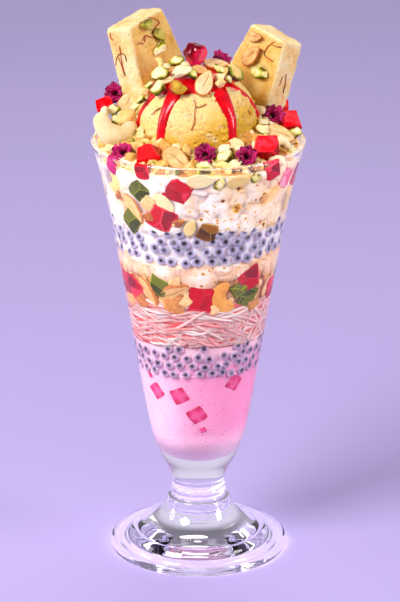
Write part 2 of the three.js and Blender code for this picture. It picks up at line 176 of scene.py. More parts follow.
def soft_finish(name, roughness, sinking, depth, spread=(1, 0.2, 0.1), shine=0.5):
    """A finish that some light sinks into, depth millimetres deep and further in colours that spread."""
    sockets = {"Roughness": roughness, "Specular IOR Level": shine, "Subsurface Weight": sinking}
    return Finish(name, {**sockets, "Subsurface Scale": depth / 1000, "Subsurface Radius": spread})


FLOOR_REACH, FLOOR_SIDES = 20.0, 96
LAMP_AIM = 0.13
floor_mesh = bpy.data.meshes.new("floor")
rim_turns = np.linspace(0, 2 * math.pi, FLOOR_SIDES, endpoint=False)
floor_rim = [(FLOOR_REACH * math.cos(a), FLOOR_REACH * math.sin(a), 0) for a in rim_turns]
floor_mesh.from_pydata(floor_rim, [], [range(FLOOR_SIDES)])
floor = bpy.data.objects.new("floor", floor_mesh)
scene.collection.objects.link(floor)
floor_paint = Finish("floor_paint", {"Roughness": 0.32, "Specular IOR Level": 0.35})
floor_paint.paint(floor_paint.ramp(floor_paint.grain(400), [(0, 184, 168, 224), (1, 192, 176, 232)]))
floor_mesh.materials.append(floor_paint.material)


def softbox(name, angle, height, distance, size, watts, tint=(1, 1, 1)):
    """A soft lamp at an angle from the front, aimed at the middle of the glass. Metres and degrees."""
    lamp = bpy.data.lights.new(name, "AREA")
    lamp.shape = "ELLIPSE"
    lamp.size, lamp.size_y = size
    lamp.energy = watts
    lamp.color = tint
    holder = bpy.data.objects.new(name, lamp)
    place = Matrix.Rotation(math.radians(angle), 4, "Z") @ Matrix.Translation((0, -distance, height))
    holder.location = place.translation
    aim = Matrix.Translation((0, 0, LAMP_AIM)).translation - holder.location
    holder.rotation_euler = aim.to_track_quat("-Z", "Y").to_euler()
    holder.visible_camera = False
    scene.collection.objects.link(holder)


softbox("key_lamp", -48, 0.95, 1.0, (0.6, 0.6), 16, (1.0, 0.97, 0.92))
softbox("right_lamp", 70, 0.75, 1.7, (0.55, 1.05), 19, (1.0, 0.98, 0.97))
softbox("left_strip", -92, 0.6, 1.5, (0.5, 0.8), 5.5)
softbox("top_lamp", 170, 1.2, 0.7, (0.9, 0.6), 4.2)

SKY_ABOVE, SKY_LOW, SKY_BEHIND = 0.24, 0.16, 0.5
sky = bpy.data.worlds.new("sky")
sky.use_nodes = True
scene.world = sky
sky_nodes = Nodes(sky.node_tree)
direction = sky_nodes.add("ShaderNodeTexCoord").outputs["Generated"]
way = sky_nodes.add("ShaderNodeSeparateXYZ", {"Vector": direction}).outputs
sockets = {"Value": way["Y"], "From Min": -0.5, "From Max": 0.8}
behind = sky_nodes.add("ShaderNodeMapRange", sockets, interpolation_type="SMOOTHSTEP").outputs[0]
sockets = {"Value": way["Z"], "From Min": 0.6, "From Max": 0.2}
low_down = sky_nodes.add("ShaderNodeMapRange", sockets, interpolation_type="SMOOTHSTEP").outputs[0]
glow = sky_nodes.times(behind, low_down)
sockets = {"Value": glow, "To Min": SKY_ABOVE, "To Max": SKY_ABOVE + SKY_BEHIND}
strength = sky_nodes.add("ShaderNodeMapRange", sockets).outputs[0]
sockets = {"Value": way["Z"], "From Min": 0.35, "From Max": 0.1, "To Max": SKY_LOW}
all_round = sky_nodes.add("ShaderNodeMapRange", sockets).outputs[0]
strength = sky_nodes.plus(strength, all_round)
backdrop = sky.node_tree.nodes["Background"]
backdrop.inputs["Color"].default_value = colour(232, 226, 246)
sky.node_tree.links.new(strength, backdrop.inputs["Strength"])

# ---- Footed glass ----
# A pressed sundae glass in one piece: a ringed foot with a hollow underside, a short knopped stem and a
# conical bowl whose rim flares slightly and is fire-polished round.
GLASS_HEIGHT = 194.8
CONE_Z, CONE_RADIUS, CONE_TAPER = 82, 26.1, 0.1647
FLARE_DEPTH, FLARE_REACH = 3.2, 18
TUCK_Z, TUCK_DEPTH, TUCK_REACH = 41, 4.3, 9
BASE_WALL, RIM_WALL = 2.8, 2.0
CAVITY_FLOOR, CAVITY_TURN = 46.5, 60
LIP_RADIUS = 1.0
GLASS_SIDES = 192
MM = 0.001


def outer_radius(z):
    flare = FLARE_DEPTH * np.exp((z - GLASS_HEIGHT) / FLARE_REACH)
    tuck = TUCK_DEPTH * np.exp((TUCK_Z - z) / TUCK_REACH)
    return CONE_RADIUS + CONE_TAPER * (z - CONE_Z) + flare - tuck


def cavity_radius(z):
    share = np.clip((z - CAVITY_TURN) / (GLASS_HEIGHT - CAVITY_TURN), 0, 1)
    turn_radius = outer_radius(CAVITY_TURN) - BASE_WALL
    drop = np.clip((CAVITY_TURN - z) / (CAVITY_TURN - CAVITY_FLOOR), 0, 1)
    straight = outer_radius(z) - BASE_WALL - (RIM_WALL - BASE_WALL) * share
    return np.where(z >= CAVITY_TURN, straight, turn_radius * np.sqrt(1 - drop**2))


def smooth_path(corners, per_span):
    """A smooth curve through the corners, with some points in each span."""
    corners = np.asarray(corners, float)
    padded = np.vstack([2 * corners[0] - corners[1], corners, 2 * corners[-1] - corners[-2]])
    t = np.arange(per_span)[:, None] / per_span
    spans = []
    for a, b, c, d in zip(padded, padded[1:], padded[2:], padded[3:]):
        bend = 2 * b + (c - a) * t + (2 * a - 5 * b + 4 * c - d) * t**2 + (3 * b - a - 3 * c + d) * t**3
        spans.append(bend / 2)
    return np.vstack([*spans, corners[-1:]])


def outward(points, faces):
    """The points and faces of a closed body, with the faces turned to look out."""
    corners = [(f[0], f[i], f[i + 1]) for f in faces for i in range(1, len(f) - 1)]
    a, b, c = (points[list(k)] for k in zip(*corners))
    inside_out = np.einsum("ij,ij->", a, np.cross(b, c)) < 0
    return points, [f[::-1] for f in faces] if inside_out else faces


def ringed(rings, start=None, end=None):
    """A closed body over rings of points, with a fan to one point at each end."""
    count, sides = rings.shape[:2]
    start = rings[0].mean(0) if start is None else start
    end = rings[-1].mean(0) if end is None else end
    points = np.vstack([rings.reshape(-1, 3), start, end])
    index = np.arange(count * sides).reshape(count, sides)
    following = np.roll(index, -1, axis=1)
    quads = np.stack([index[:-1], following[:-1], following[1:], index[1:]], -1).reshape(-1, 4).tolist()
    first, last = count * sides, count * sides + 1
    quads += [[first, b, a] for a, b in zip(index[0].tolist(), following[0].tolist())]
    quads += [[last, a, b] for a, b in zip(index[-1].tolist(), following[-1].tolist())]
    return outward(points, quads)


def around(radius, angle, z):
    """Points at a radius, an angle from the front in radians, and a height."""
    return np.stack(np.broadcast_arrays(radius * np.sin(angle), -radius * np.cos(angle), z), -1)


def turns(sides):
    return np.linspace(0, 2 * math.pi, sides, endpoint=False)


def mesh_of(name, shape, marks=None, smooth=True):
    """A mesh from points in millimetres and faces. Its marks are values per point or per face."""
    points, faces = shape
    mesh = bpy.data.meshes.new(name)
    mesh.from_pydata((np.asarray(points) * MM).tolist(), [], faces)
    for mark, values in (marks or {}).items():
        values = np.asarray(values, float)
        kind, key = ("FLOAT", "value") if values.ndim == 1 else ("FLOAT_VECTOR", "vector")
        domain = "POINT" if len(values) == len(mesh.vertices) else "FACE"
        mesh.attributes.new(mark, kind, domain).data.foreach_set(key, values.ravel())
    if smooth:
        mesh.shade_smooth()
    return mesh


def show(name, mesh, finish, slot, *stands_for):
    """Puts a mesh on the part as a piece that stands for CAD nodes."""
    if not mesh.materials:
        mesh.materials.append(finish.material)
    piece = bpy.data.objects.new(name, mesh)
    scene.collection.objects.link(piece)
    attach(piece, "root")
    if stands_for:
        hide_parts(*stands_for)
    return piece


underside = smooth_path([(6, 3.2), (20, 2.8), (29, 2.0), (32, 1.3), (33.6, 0.3), (35, 0), (38.4, 0)], 8)
foot_edge = smooth_path([(38.4, 0), (40.1, 0.7), (40.8, 2.3), (40.2, 3.9), (38.9, 4.5), (37.7, 4.3)], 5)
foot_rings = [(37.7, 4.3), (36.6, 4.8), (34.2, 5.2), (32.9, 5.3), (32, 6.2), (31.0, 7.6), (29.6, 8.7)]
foot_rings += [(28.2, 9.1), (27.5, 9.5), (25.5, 10.9), (22.6, 12.5), (20, 14.4), (17.4, 17.3)]
foot_rings += [(15.5, 20.6), (14.4, 23.6)]
stem = [(14.4, 23.6), (13.9, 24.6), (12.7, 25.3), (12.2, 26.6), (12.35, 28.2), (12.6, 29.2), (12.1, 30.2)]
stem += [(11.8, 31.8), (12.1, 34.2), (12.9, 36.6), (14.3, 39.6), (15.35, 41.6)]
foot_top = np.vstack([smooth_path(foot_rings, 8)[1:], smooth_path(stem, 7)[1:]])
bowl_z = np.concatenate([np.linspace(43, 62, 14), np.linspace(65, 180, 24), np.linspace(184, 193.6, 6)])
bowl = np.stack([outer_radius(bowl_z), bowl_z], 1)
lip_turn = np.radians(np.linspace(10, 170, 7))
lip_middle = (outer_radius(193.8) + cavity_radius(193.8)) / 2
lip = np.stack([lip_middle + LIP_RADIUS * np.cos(lip_turn), 193.8 + LIP_RADIUS * np.sin(lip_turn)], 1)
inside_z = np.concatenate([np.linspace(193.6, 184, 6), np.linspace(180, CAVITY_TURN, 22)])
inside = np.stack([cavity_radius(inside_z), inside_z], 1)
turn = np.radians(np.linspace(84, 8, 14))
bottom_z = CAVITY_TURN - (CAVITY_TURN - CAVITY_FLOOR) * np.cos(turn)
bottom = np.stack([cavity_radius(bottom_z), bottom_z], 1)
outline = np.vstack([underside, foot_edge[1:], foot_top, bowl, lip, inside, bottom])
glass_rings = around(outline[:, :1], turns(GLASS_SIDES), outline[:, 1:])
glass_shape = ringed(glass_rings, start=(0, 0, 3.3), end=(0, 0, CAVITY_FLOOR))

clear_glass = Finish("clear_glass", {"Base Color": (0.99, 0.99, 1, 1), "Transmission Weight": 1.0,
                                     "IOR": 1.5, "Roughness": 0.0, "Specular IOR Level": 0.3})
clear_glass.bump(clear_glass.grain(40, 1), 0.04)
shade_path = clear_glass.add("ShaderNodeLightPath").outputs["Is Shadow Ray"]
shade_glass = clear_glass.add("ShaderNodeBsdfTransparent", {"Color": (0.94, 0.94, 0.97, 1)})
sockets = {0: shade_path, 1: clear_glass.surface.outputs[0], 2: shade_glass.outputs[0]}
through = clear_glass.add("ShaderNodeMixShader", sockets)
clear_glass.tree.links.new(through.outputs[0], clear_glass.tree.nodes["Material Output"].inputs["Surface"])
show("footed_glass", mesh_of("footed_glass", glass_shape), clear_glass, "glass", "glass")

# ---- Rose milk ----
# Thick pink milk that fills the round bottom of the bowl, with specks of rose syrup and a few jelly cubes
# sunk against the wall. Painted light makes it paler at the left and palest where the bowl is round below.
LEVELS = {
    "milk": (91, 0.7, 10),
    "lower_seeds": (105.2, 0.9, 35),
    "noodles": (126.5, 1.0, 300),
    "fruit": (138.5, 1.2, 120),
    "lower_cream": (148, 1.7, 205),
    "upper_seeds": (162.3, 1.5, 20),
    "upper_cream": (189.2, 0.8, 80),
}
MILK_REACH = 0.3


def level(name, angle, rise=0.0):
    """Height of the top of a layer at an angle round the glass."""
    z, lift, phase = LEVELS[name]
    phase = math.radians(phase)
    return z + rise + lift * (np.cos(angle - phase) + 0.45 * np.cos(3 * angle + phase))


milk_turns = turns(160)
round_part = np.radians(np.linspace(8, 84, 14))[:, None]
round_z = CAVITY_TURN - (CAVITY_TURN - CAVITY_FLOOR) * np.cos(round_part)
round_radius = cavity_radius(round_z) + MILK_REACH * np.sin(round_part)
milk_bottom = around(round_radius, milk_turns[None], round_z - MILK_REACH * np.cos(round_part))
milk_share = np.linspace(0.02, 1, 26)[:, None]
side_z = CAVITY_TURN + (level("milk", milk_turns, 0.4)[None] - CAVITY_TURN) * milk_share
milk_side = around(cavity_radius(side_z) + MILK_REACH, milk_turns[None], side_z)
milk_shape = ringed(np.concatenate([milk_bottom, milk_side]), start=(0, 0, CAVITY_FLOOR - MILK_REACH))


def milk_pinks_and_light(finish, deep):
    """Milk pink with painted light: pale at the left, deeper at the right, palest where the bowl is round
    below.
    """
    place = finish.axes()
    wander = finish.times(finish.grain(26, 2), 0.03)
    # painted light: paler towards the left where the key lamp falls, deeper towards the right
    side = finish.steps(finish.plus(place["X"], wander), -0.014, 0.03)
    pinks = finish.ramp(side, [(0, 254, 222, 240), (0.45, 253, 184, 216), (1, deep)])
    # painted light: palest low down, where the round bottom of the bowl is in shade
    pinks = finish.blend(finish.steps(place["Z"], 0.066, 0.05), pinks, colour(255, 212, 230))
    fleck = finish.times(finish.steps(finish.cells(2.0), 0.2, 0.1), 0.75)
    return finish.blend(fleck, pinks, colour(226, 30, 100))


rose_milk = soft_finish("rose_milk", 0.28, 0.35, 3, (1.0, 0.5, 0.7), 0.25)
ROSE_DEEP = colour(250, 160, 202)
rose_milk.paint(milk_pinks_and_light(rose_milk, ROSE_DEEP))
show("rose_milk_pool", mesh_of("rose_milk_pool", milk_shape), rose_milk, "rose_milk", "rose_milk")

# ---- Jelly sunk in the milk ----
# Soft pink cubes of rose jelly that have sunk into the milk and rest on the wall corner down, deepest
# pink at their corners.
PRESSED_BASE, PRESSED_DEPTH, PRESSED_BACK = 0.75, 0.95, 0.28
SMALL_BIT, SMALL_DEPTH = 4.7, 0.75
CUBE_REACH = (0.33, 0.3)
MILK_CUBES = [  # kind, length, angle, height, spin or turns about across, up and out
    ("cube", 6.4, -48.7, 81.7, (8, 10, 38)),
    ("cube", 6.8, -20.6, 81.5, (-8, 10, 26)),
    ("cube", 6.8, -1.7, 72.3, (6, -10, 32)),
    ("cube", 6.2, 38.1, 87, (8, 8, 58)),
    ("cube", 2.2, -55, 88.8, 20),
    ("cube", 2.4, 5.3, 64.5, 30),
    ("cube", 6.4, 92, 76, (8, 8, 50)),
    ("cube", 6, 150, 84, (8, 8, 20)),
    ("cube", 6.6, -120, 74, (8, 8, 40)),
    ("cube", 6.2, -172, 68, (8, 8, 30)),
]


def roughened(points, size, depth, seed):
    """Points moved by cloudy noise, by depth millimetres at most."""
    shift = [tuple(noise.noise_vector(p)) for p in (points / size + seed).tolist()]
    return points + depth * np.array(shift)


def worn(points, length, rng, *waves):
    """Points of a bit of the given length, roughened by waves of a size and a depth in shares of it."""
    for size, depth in waves:
        points = roughened(points, size * length, depth * length, rng.uniform(0, 50))
    return points


def block(size, corner, cells):
    """A box with rounded edges, and for each point its place in the box from -1 to 1."""
    half = np.asarray(size, float) / 2
    cuts = [np.linspace(corner - h, h - corner, n + 1) for h, n in zip(half, cells)]
    lines = [np.concatenate([[-h, -h + corner / 2], cut, [h - corner / 2, h]])
             for h, cut in zip(half, cuts)]
    counts = [len(line) for line in lines]
    weights = np.array([counts[1] * counts[2], counts[2], 1])
    sides = []
    for axis in range(3):
        u, v = (axis + 1) % 3, (axis + 2) % 3
        for end in (0, counts[axis] - 1):
            grid = np.zeros((counts[u], counts[v], 3), int)
            grid[..., axis] = end
            grid[..., u] = np.arange(counts[u])[:, None]
            grid[..., v] = np.arange(counts[v])
            index = grid @ weights
            quads = np.stack([index[:-1, :-1], index[1:, :-1], index[1:, 1:], index[:-1, 1:]],
                             -1).reshape(-1, 4)
            sides.append(quads if end else quads[:, ::-1])
    used, quads = np.unique(np.vstack(sides), return_inverse=True)
    i, rest = np.divmod(used, weights[0])
    j, k = np.divmod(rest, weights[1])
    flat = np.stack([lines[0][i], lines[1][j], lines[2][k]], 1)
    core = np.clip(flat, corner - half, half - corner)
    out = flat - core
    rounded = core + corner * out / np.linalg.norm(out, axis=1, keepdims=True)
    return rounded, quads.reshape(-1, 4).tolist(), flat / half


def press_on(body, angle, z, turn, base=PRESSED_BASE, depth=PRESSED_DEPTH):
    """Lays a body against the wall, which flattens all but the back of it to the given depth."""
    points, *rest = body
    x, y, out = (points @ np.array(Euler(np.radians(turn)).to_matrix()).T).T
    height = z + y
    share = (out - out.min()) / np.ptp(out) - PRESSED_BACK
    out = np.where(share > 0, depth * share / (1 - PRESSED_BACK), 5 * share)
    place = around(cavity_radius(height) + base + out, math.radians(angle) + x / cavity_radius(z), height)
    return (place, *rest)


def gathered(name, bodies):
    """Joins bodies of one finish into one mesh, with the marks that the finish reads."""
    faces, total = [], 0
    for points, own_faces, *_ in bodies:
        faces += [[i + total for i in face] for face in own_faces]
        total += len(points)
    points, _, own, look = (np.vstack(part) if i != 1 else None for i, part in enumerate(zip(*bodies)))
    return mesh_of(name, (points, faces), {"own": own, "look": look}, smooth=len(look) == len(points))


def wall_pieces(prefix, pieces, kinds, node, rng, small_base=0.2, whole=(PRESSED_BASE, PRESSED_DEPTH)):
    """Shows the pieces of one layer that lie at the wall, as one mesh for each kind."""
    for kind, (shape, finish, slot) in kinds.items():
        like = [row for row in pieces if row[0] == kind]
        if like:
            bodies = []
            for _, length, angle, z, turn in like:
                reach = (small_base, SMALL_DEPTH) if length < SMALL_BIT else whole
                turn = turn if isinstance(turn, tuple) else (0, 0, turn)
                bodies.append(press_on(shape(length, rng), angle, z, turn, *reach))
            show(f"{prefix}_{kind}", gathered(f"{prefix}_{kind}", bodies), finish, slot, node)


def milk_cube(length, rng):
    """A soft cube. Its look carries how near each point is to a corner."""
    points, faces, place = block((length, length, 0.7 * length), 0.07 * length, (7, 7, 4))
    points = worn(points, length, rng, (0.5, 0.05))
    corner = np.abs(place[:, 0] * place[:, 1]) ** 0.8
    return points, faces, place, np.stack([corner, 0 * corner, np.full(len(corner), rng.random())], 1)


pink_cube = soft_finish("pink_cube", 0.3, 0.4, 2)
cloudy = pink_cube.drift(0.9, 3, 2)
deepness = pink_cube.plus(pink_cube.mark("look", 0), cloudy)
cube_pinks = [(0.05, 238, 96, 156), (0.4, 226, 34, 112), (0.85, 208, 0, 74)]
pink_cube.paint(pink_cube.ramp(deepness, cube_pinks))
cube_kinds = {"cube": (milk_cube, pink_cube, "red_jelly")}
wall_pieces("milk", MILK_CUBES, cube_kinds, "rose_milk", np.random.default_rng(2), 0.3, CUBE_REACH)

# ---- Lower band of basil seeds ----
# Soaked sweet-basil seeds: each a small black seed in a ball of clear grey jelly. They lie in pink milk
# three or four deep and flatten where they press on the glass.
SEED_HALO_LOWER = 4.7
SEED_SIZES = (0.92, 1.1)
SEED_MILK_REACH = 0.12
SEED_REACH = 0.42
SEED_BULGE = 0.34


class Grown(Nodes):
    """A geometry tree with named sizes, run on a base mesh. Its result is a plain mesh."""

    def __init__(self, name, sizes):
        super().__init__(bpy.data.node_groups.new(name, "GeometryNodeTree"))
        self.tree.interface.new_socket(name="Geometry", in_out="INPUT", socket_type="NodeSocketGeometry")
        for size, value in sizes.items():
            kind = "NodeSocketInt" if isinstance(value, int) else "NodeSocketFloat"
            self.tree.interface.new_socket(name=size, in_out="INPUT", socket_type=kind)
        self.tree.interface.new_socket(name="Geometry", in_out="OUTPUT", socket_type="NodeSocketGeometry")
        self.sizes = sizes
        self.given = self.add("NodeGroupInput").outputs

    def named(self, name, kind="FLOAT"):
        """A value that each base point carries."""
        node = self.add("GeometryNodeInputNamedAttribute", {"Name": name}, data_type=kind)
        return node.outputs["Attribute"]

    def run(self, base, geometry, finish, smooth=True):
        """Ends the tree with real geometry in its finish, and returns the mesh it makes on the base."""
        real = self.add("GeometryNodeRealizeInstances", {"Geometry": geometry}).outputs[0]
        shaded = self.add("GeometryNodeSetShadeSmooth",
                          {"Geometry": real, "Shade Smooth": smooth}).outputs[0]
        last = self.add("GeometryNodeSetMaterial", {"Geometry": shaded, "Material": finish.material})
        self.add("NodeGroupOutput", {"Geometry": last.outputs[0]})
        holder = bpy.data.objects.new(self.tree.name, base)
        scene.collection.objects.link(holder)
        modifier = holder.modifiers.new("grow", "NODES")
        modifier.node_group = self.tree
        for item in self.tree.interface.items_tree:
            if item.in_out == "INPUT" and item.name in self.sizes:
                modifier[item.identifier] = self.sizes[item.name]
        evaluated = holder.evaluated_get(bpy.context.evaluated_depsgraph_get())
        mesh = bpy.data.meshes.new_from_object(evaluated)
        holder.modifiers.remove(modifier)
        bpy.data.objects.remove(holder)
        return mesh


def filling(low, high, reach, rows, sides, relief=None):
    """A closed layer of the filling between two heights per angle. Its side lies in the glass wall."""
    angle = turns(sides)[None]
    share = np.linspace(0, 1, rows)[:, None]
    z = low(angle) * (1 - share) + high(angle) * share
    depth = reach if relief is None else reach + relief(angle + 0 * z, z)
    return ringed(around(cavity_radius(z) + depth, angle, z))


def turn_from(degrees, angle):
    """The shorter turn, in radians, from an angle in degrees to one in radians."""
    return (angle - math.radians(degrees) + math.pi) % (2 * math.pi) - math.pi


def room_round(pieces, angle, z):
    """1 in the open, falling to 0 under each piece that is pressed on the wall."""
    room = np.ones_like(angle + z)
    for _, length, piece_angle, piece_z, _ in pieces:
        turn = turn_from(piece_angle, angle)
        away = np.hypot(turn * cavity_radius(z), z - piece_z) / (0.5 * length)
        room = np.minimum(room, np.clip((away - 0.6) / 0.5, 0, 1))
    return room


def seed_spots(low, high, halo, rng, pieces=()):
    """Angles and heights of seeds side by side between two levels, none in line and none under a piece."""
    row_step, middle = 0.88 * halo, 0.5 * halo
    spots = []
    heights = np.arange(low(0) - 6, high(0) + 9, row_step)
    for row, z in enumerate(heights):
        in_row = int(2 * math.pi * cavity_radius(z) / (1.07 * halo))
        for angle in (np.arange(in_row) + 0.5 * (row % 2)) * 2 * math.pi / in_row:
            jitter = rng.uniform(-0.17 * halo, 0.17 * halo, 2)
            angle, lifted = angle + jitter[0] / cavity_radius(z), z + jitter[1]
            covered = min(room_round(pieces, angle, lifted), rng.random() * 20)
            if low(angle) + 0.6 * middle < lifted < high(angle) - 0.6 * middle and covered > 0.4:
                spots.append((angle, lifted))
    return np.array(spots)


def seed_band(name, spots, halo, finish, rng):
    """Soaked seeds at the wall: flattened balls that face out through the glass."""
    angle, z = spots.T
    size = rng.uniform(*SEED_SIZES, len(z))
    depth = rng.uniform(0, 0.35, len(z))
    places = around(cavity_radius(z) + SEED_REACH + depth, angle, z)
    looks_out = around(1.0, angle + rng.normal(0, 0.05, len(z)), rng.normal(0.1, 0.08, len(z)))
    marks = {"looks_out": looks_out, "size": size, "tint": rng.random(len(z))}
    base = mesh_of(name, (places, []), marks)
    plan = Grown(name + "_plan", {"Halo radius": halo * MM / 2, "Flatness": SEED_BULGE})
    seed = plan.add("GeometryNodeMeshUVSphere", {"Radius": 1.0, "Segments": 12, "Rings": 5}).outputs[0]
    place = plan.add("GeometryNodeInputPosition").outputs[0]
    sockets = {"Geometry": seed, "Name": "spot", "Value": place}
    seed = plan.add("GeometryNodeStoreNamedAttribute", sockets, data_type="FLOAT_VECTOR").outputs[0]
    facing = plan.named("looks_out", "FLOAT_VECTOR")
    turned = plan.add("FunctionNodeAlignRotationToVector", {"Vector": facing}, axis="Z").outputs[0]
    wide = plan.times(plan.given["Halo radius"], plan.named("size"))
    thick = plan.times(wide, plan.given["Flatness"])
    scale = plan.add("ShaderNodeCombineXYZ", {"X": wide, "Y": wide, "Z": thick}).outputs[0]
    sockets = {"Points": plan.given["Geometry"], "Instance": seed, "Rotation": turned, "Scale": scale}
    return plan.run(base, plan.add("GeometryNodeInstanceOnPoints", sockets).outputs[0], finish)


def seed_finish(name, core, flesh, edge):
    """Black seed in grey jelly, painted out from the middle of each ball."""
    seed = soft_finish(name, 0.14, 0.1, 0.6)
    spot = seed.attribute("spot")
    flat = seed.add("ShaderNodeVectorMath", {0: spot, 1: (1, 1, 0)}, operation="MULTIPLY").outputs[0]
    out = seed.add("ShaderNodeVectorMath", {0: flat}, operation="LENGTH").outputs["Value"]
    uneven = seed.drift(0.16, 1.5)
    own_size = seed.times(seed.less(seed.mark("tint"), 0.5), 0.08)
    from_core = seed.plus(seed.plus(out, uneven), own_size)
    shady, lit = (tuple(share * v for v in flesh[:3]) + (1,) for share in (0.4, 1.7))
    stops = [(0.0, core), (0.21, core), (0.31, shady), (0.53, flesh), (0.8, lit), (0.98, edge)]
    seed.paint(seed.ramp(from_core, stops))
    return seed


milk_rng = np.random.default_rng(7)
pink_milk = soft_finish("pink_milk", 0.3, 0.25, 2)
high_up = pink_milk.axes()["Z"]
wander = pink_milk.drift(0.008, 6, 2)
noodled = pink_milk.steps(pink_milk.plus(high_up, wander), 0.0945, 0.1035)
pink_milk.paint(pink_milk.blend(noodled, milk_pinks_and_light(pink_milk, ROSE_DEEP), colour(250, 206, 216)))
lower_seed = seed_finish("lower_seed", colour(8, 2, 12), colour(160, 134, 164), colour(246, 212, 230))


def lower_band_floor(angle):
    return level("milk", angle) - 2.6 + 1.5 * np.cos(angle - 0.3) + 1.1 * np.sin(9 * angle)


def lower_band_top(angle):
    return level("lower_seeds", angle, 1.0) + np.sin(11 * angle)


spots = seed_spots(lower_band_floor, lower_band_top, SEED_HALO_LOWER, milk_rng)
band = seed_band("basil_seeds_low", spots, SEED_HALO_LOWER, lower_seed, milk_rng)
show("basil_seeds_low", band, lower_seed, "basil_seed", "basil_seeds_lower")
seed_milk = filling(lambda a: level("milk", a, -0.2), lambda a: level("lower_seeds", a, 0.5),
                    SEED_MILK_REACH, 14, 160)
show("seed_milk_low", mesh_of("seed_milk_low", seed_milk), pink_milk, "rose_milk", "basil_seeds_lower")

# ---- Falooda noodles ----
# Thin cornflour noodles soaked pink, packed in loose sagging strands that cross and dive behind each other.
# Rose milk shows in the gaps, its pink made darker with painted shade between the strands.
NOODLE_THICKNESS = (1.1, 1.65)
NOODLE_STRANDS = 500
NOODLE_SIDES = 6
NOODLE_STEP = 1.3
NOODLE_DEPTHS = (0.1, 0.95)


def strands(name, paths, thicknesses, sides, finish, tints=None):
    """Round strands along paths of points, each as thick as it is told, joined in one mesh."""
    points = np.vstack(paths)
    starts = np.cumsum([0] + [len(path) for path in paths])
    edges = [(i, i + 1) for a, b in zip(starts, starts[1:]) for i in range(a, b - 1)]
    base = bpy.data.meshes.new(name)
    base.from_pydata((points * MM).tolist(), edges, [])
    radius = np.concatenate([np.broadcast_to(t, len(path)) / 2 for t, path in zip(thicknesses, paths)]) * MM
    base.attributes.new("thickness", "FLOAT", "POINT").data.foreach_set("value", radius)
    if tints is None:
        tints = np.zeros(len(paths))
    tint = np.concatenate([np.full(len(path), t) for t, path in zip(tints, paths)])
    base.attributes.new("tint", "FLOAT", "POINT").data.foreach_set("value", tint)
    plan = Grown(name + "_plan", {"Sides": sides})
    curve = plan.add("GeometryNodeMeshToCurve", {"Mesh": plan.given["Geometry"]}).outputs[0]
    ring = plan.add("GeometryNodeCurvePrimitiveCircle",
                    {"Resolution": plan.given["Sides"], "Radius": 1.0}).outputs[0]
    sockets = {"Curve": curve, "Profile Curve": ring, "Scale": plan.named("thickness"), "Fill Caps": True}
    return plan.run(base, plan.add("GeometryNodeCurveToMesh", sockets).outputs[0], finish)


def noodle_path(rng):
    """One noodle at the wall: it starts anywhere, runs round the glass and sags between its neighbours."""
    start = rng.uniform(0, 2 * math.pi)
    length = rng.uniform(8, 24)
    along = np.arange(0, length, NOODLE_STEP)
    height = rng.uniform(0.02, 1)
    angle = start + along / 29.0
    steepness = 0.27 + 0.75 * np.exp(-((math.degrees(start + 0.5) % 360 - 66) / 34) ** 2)
    slope = rng.normal(0, steepness)
    wave = rng.uniform(0.5, 1.9) * np.sin(along / rng.uniform(4, 11) + rng.uniform(0, 6.3))
    low, high = level("lower_seeds", angle, 0.7), level("noodles", angle, 0.3)
    z = low + (high - low) * height + slope * (along - length / 2) + wave
    sag = rng.uniform(-0.8, 1.6) * np.sin(np.pi * along / length)
    z = np.clip(z - sag, low + 0.5 * np.sin(along / 3 + start) ** 2,
                high - 0.6 * np.sin(along / 4 + start) ** 2)
    depth = rng.uniform(*NOODLE_DEPTHS) + 0.35 * np.sin(along / rng.uniform(5, 9) + rng.uniform(0, 6.3))
    ends = np.minimum(along, along[-1] - along)
    depth = np.clip(depth, 0.0, 1.25) - 0.9 * np.exp(-ends / 2.2)
    return around(cavity_radius(z) + depth - 0.1, angle, z)


noodle_rng = np.random.default_rng(23)
noodle = soft_finish("noodle", 0.45, 0.6, 2, (1.0, 0.6, 0.6), 0.3)
whites = [(0.1, 242, 130, 128), (0.45, 253, 180, 177), (0.9, 255, 230, 224)]
noodle_tone = noodle.plus(noodle.times(noodle.mark("tint"), 0.6), noodle.times(noodle.grain(6), 0.45))
noodle.paint(noodle.ramp(noodle_tone, whites))
noodle_paths = [noodle_path(noodle_rng) for _ in range(NOODLE_STRANDS)]
noodle_sizes = noodle_rng.uniform(*NOODLE_THICKNESS, NOODLE_STRANDS)
noodle_tints = noodle_rng.random(NOODLE_STRANDS)
noodle_mesh = strands("noodle_strands", noodle_paths, noodle_sizes, NOODLE_SIDES, noodle, noodle_tints)
show("noodle_strands", noodle_mesh, noodle, "noodle", "falooda_noodles")

noodle_milk = soft_finish("noodle_milk", 0.35, 0.2, 2)
# painted shade: the milk between the strands is darker than the rose milk, as the shade in the gaps
salmon = [(0.3, 216, 70, 60), (0.6, 236, 108, 96), (0.8, 246, 146, 136)]
noodle_milk.paint(noodle_milk.ramp(noodle_milk.grain(3.5), salmon))
between = filling(lambda a: level("lower_seeds", a, 0.1), lambda a: level("noodles", a, 0.3), 0.45, 24, 200)
show("noodle_milk", mesh_of("noodle_milk", between), noodle_milk, "noodle", "falooda_noodles")
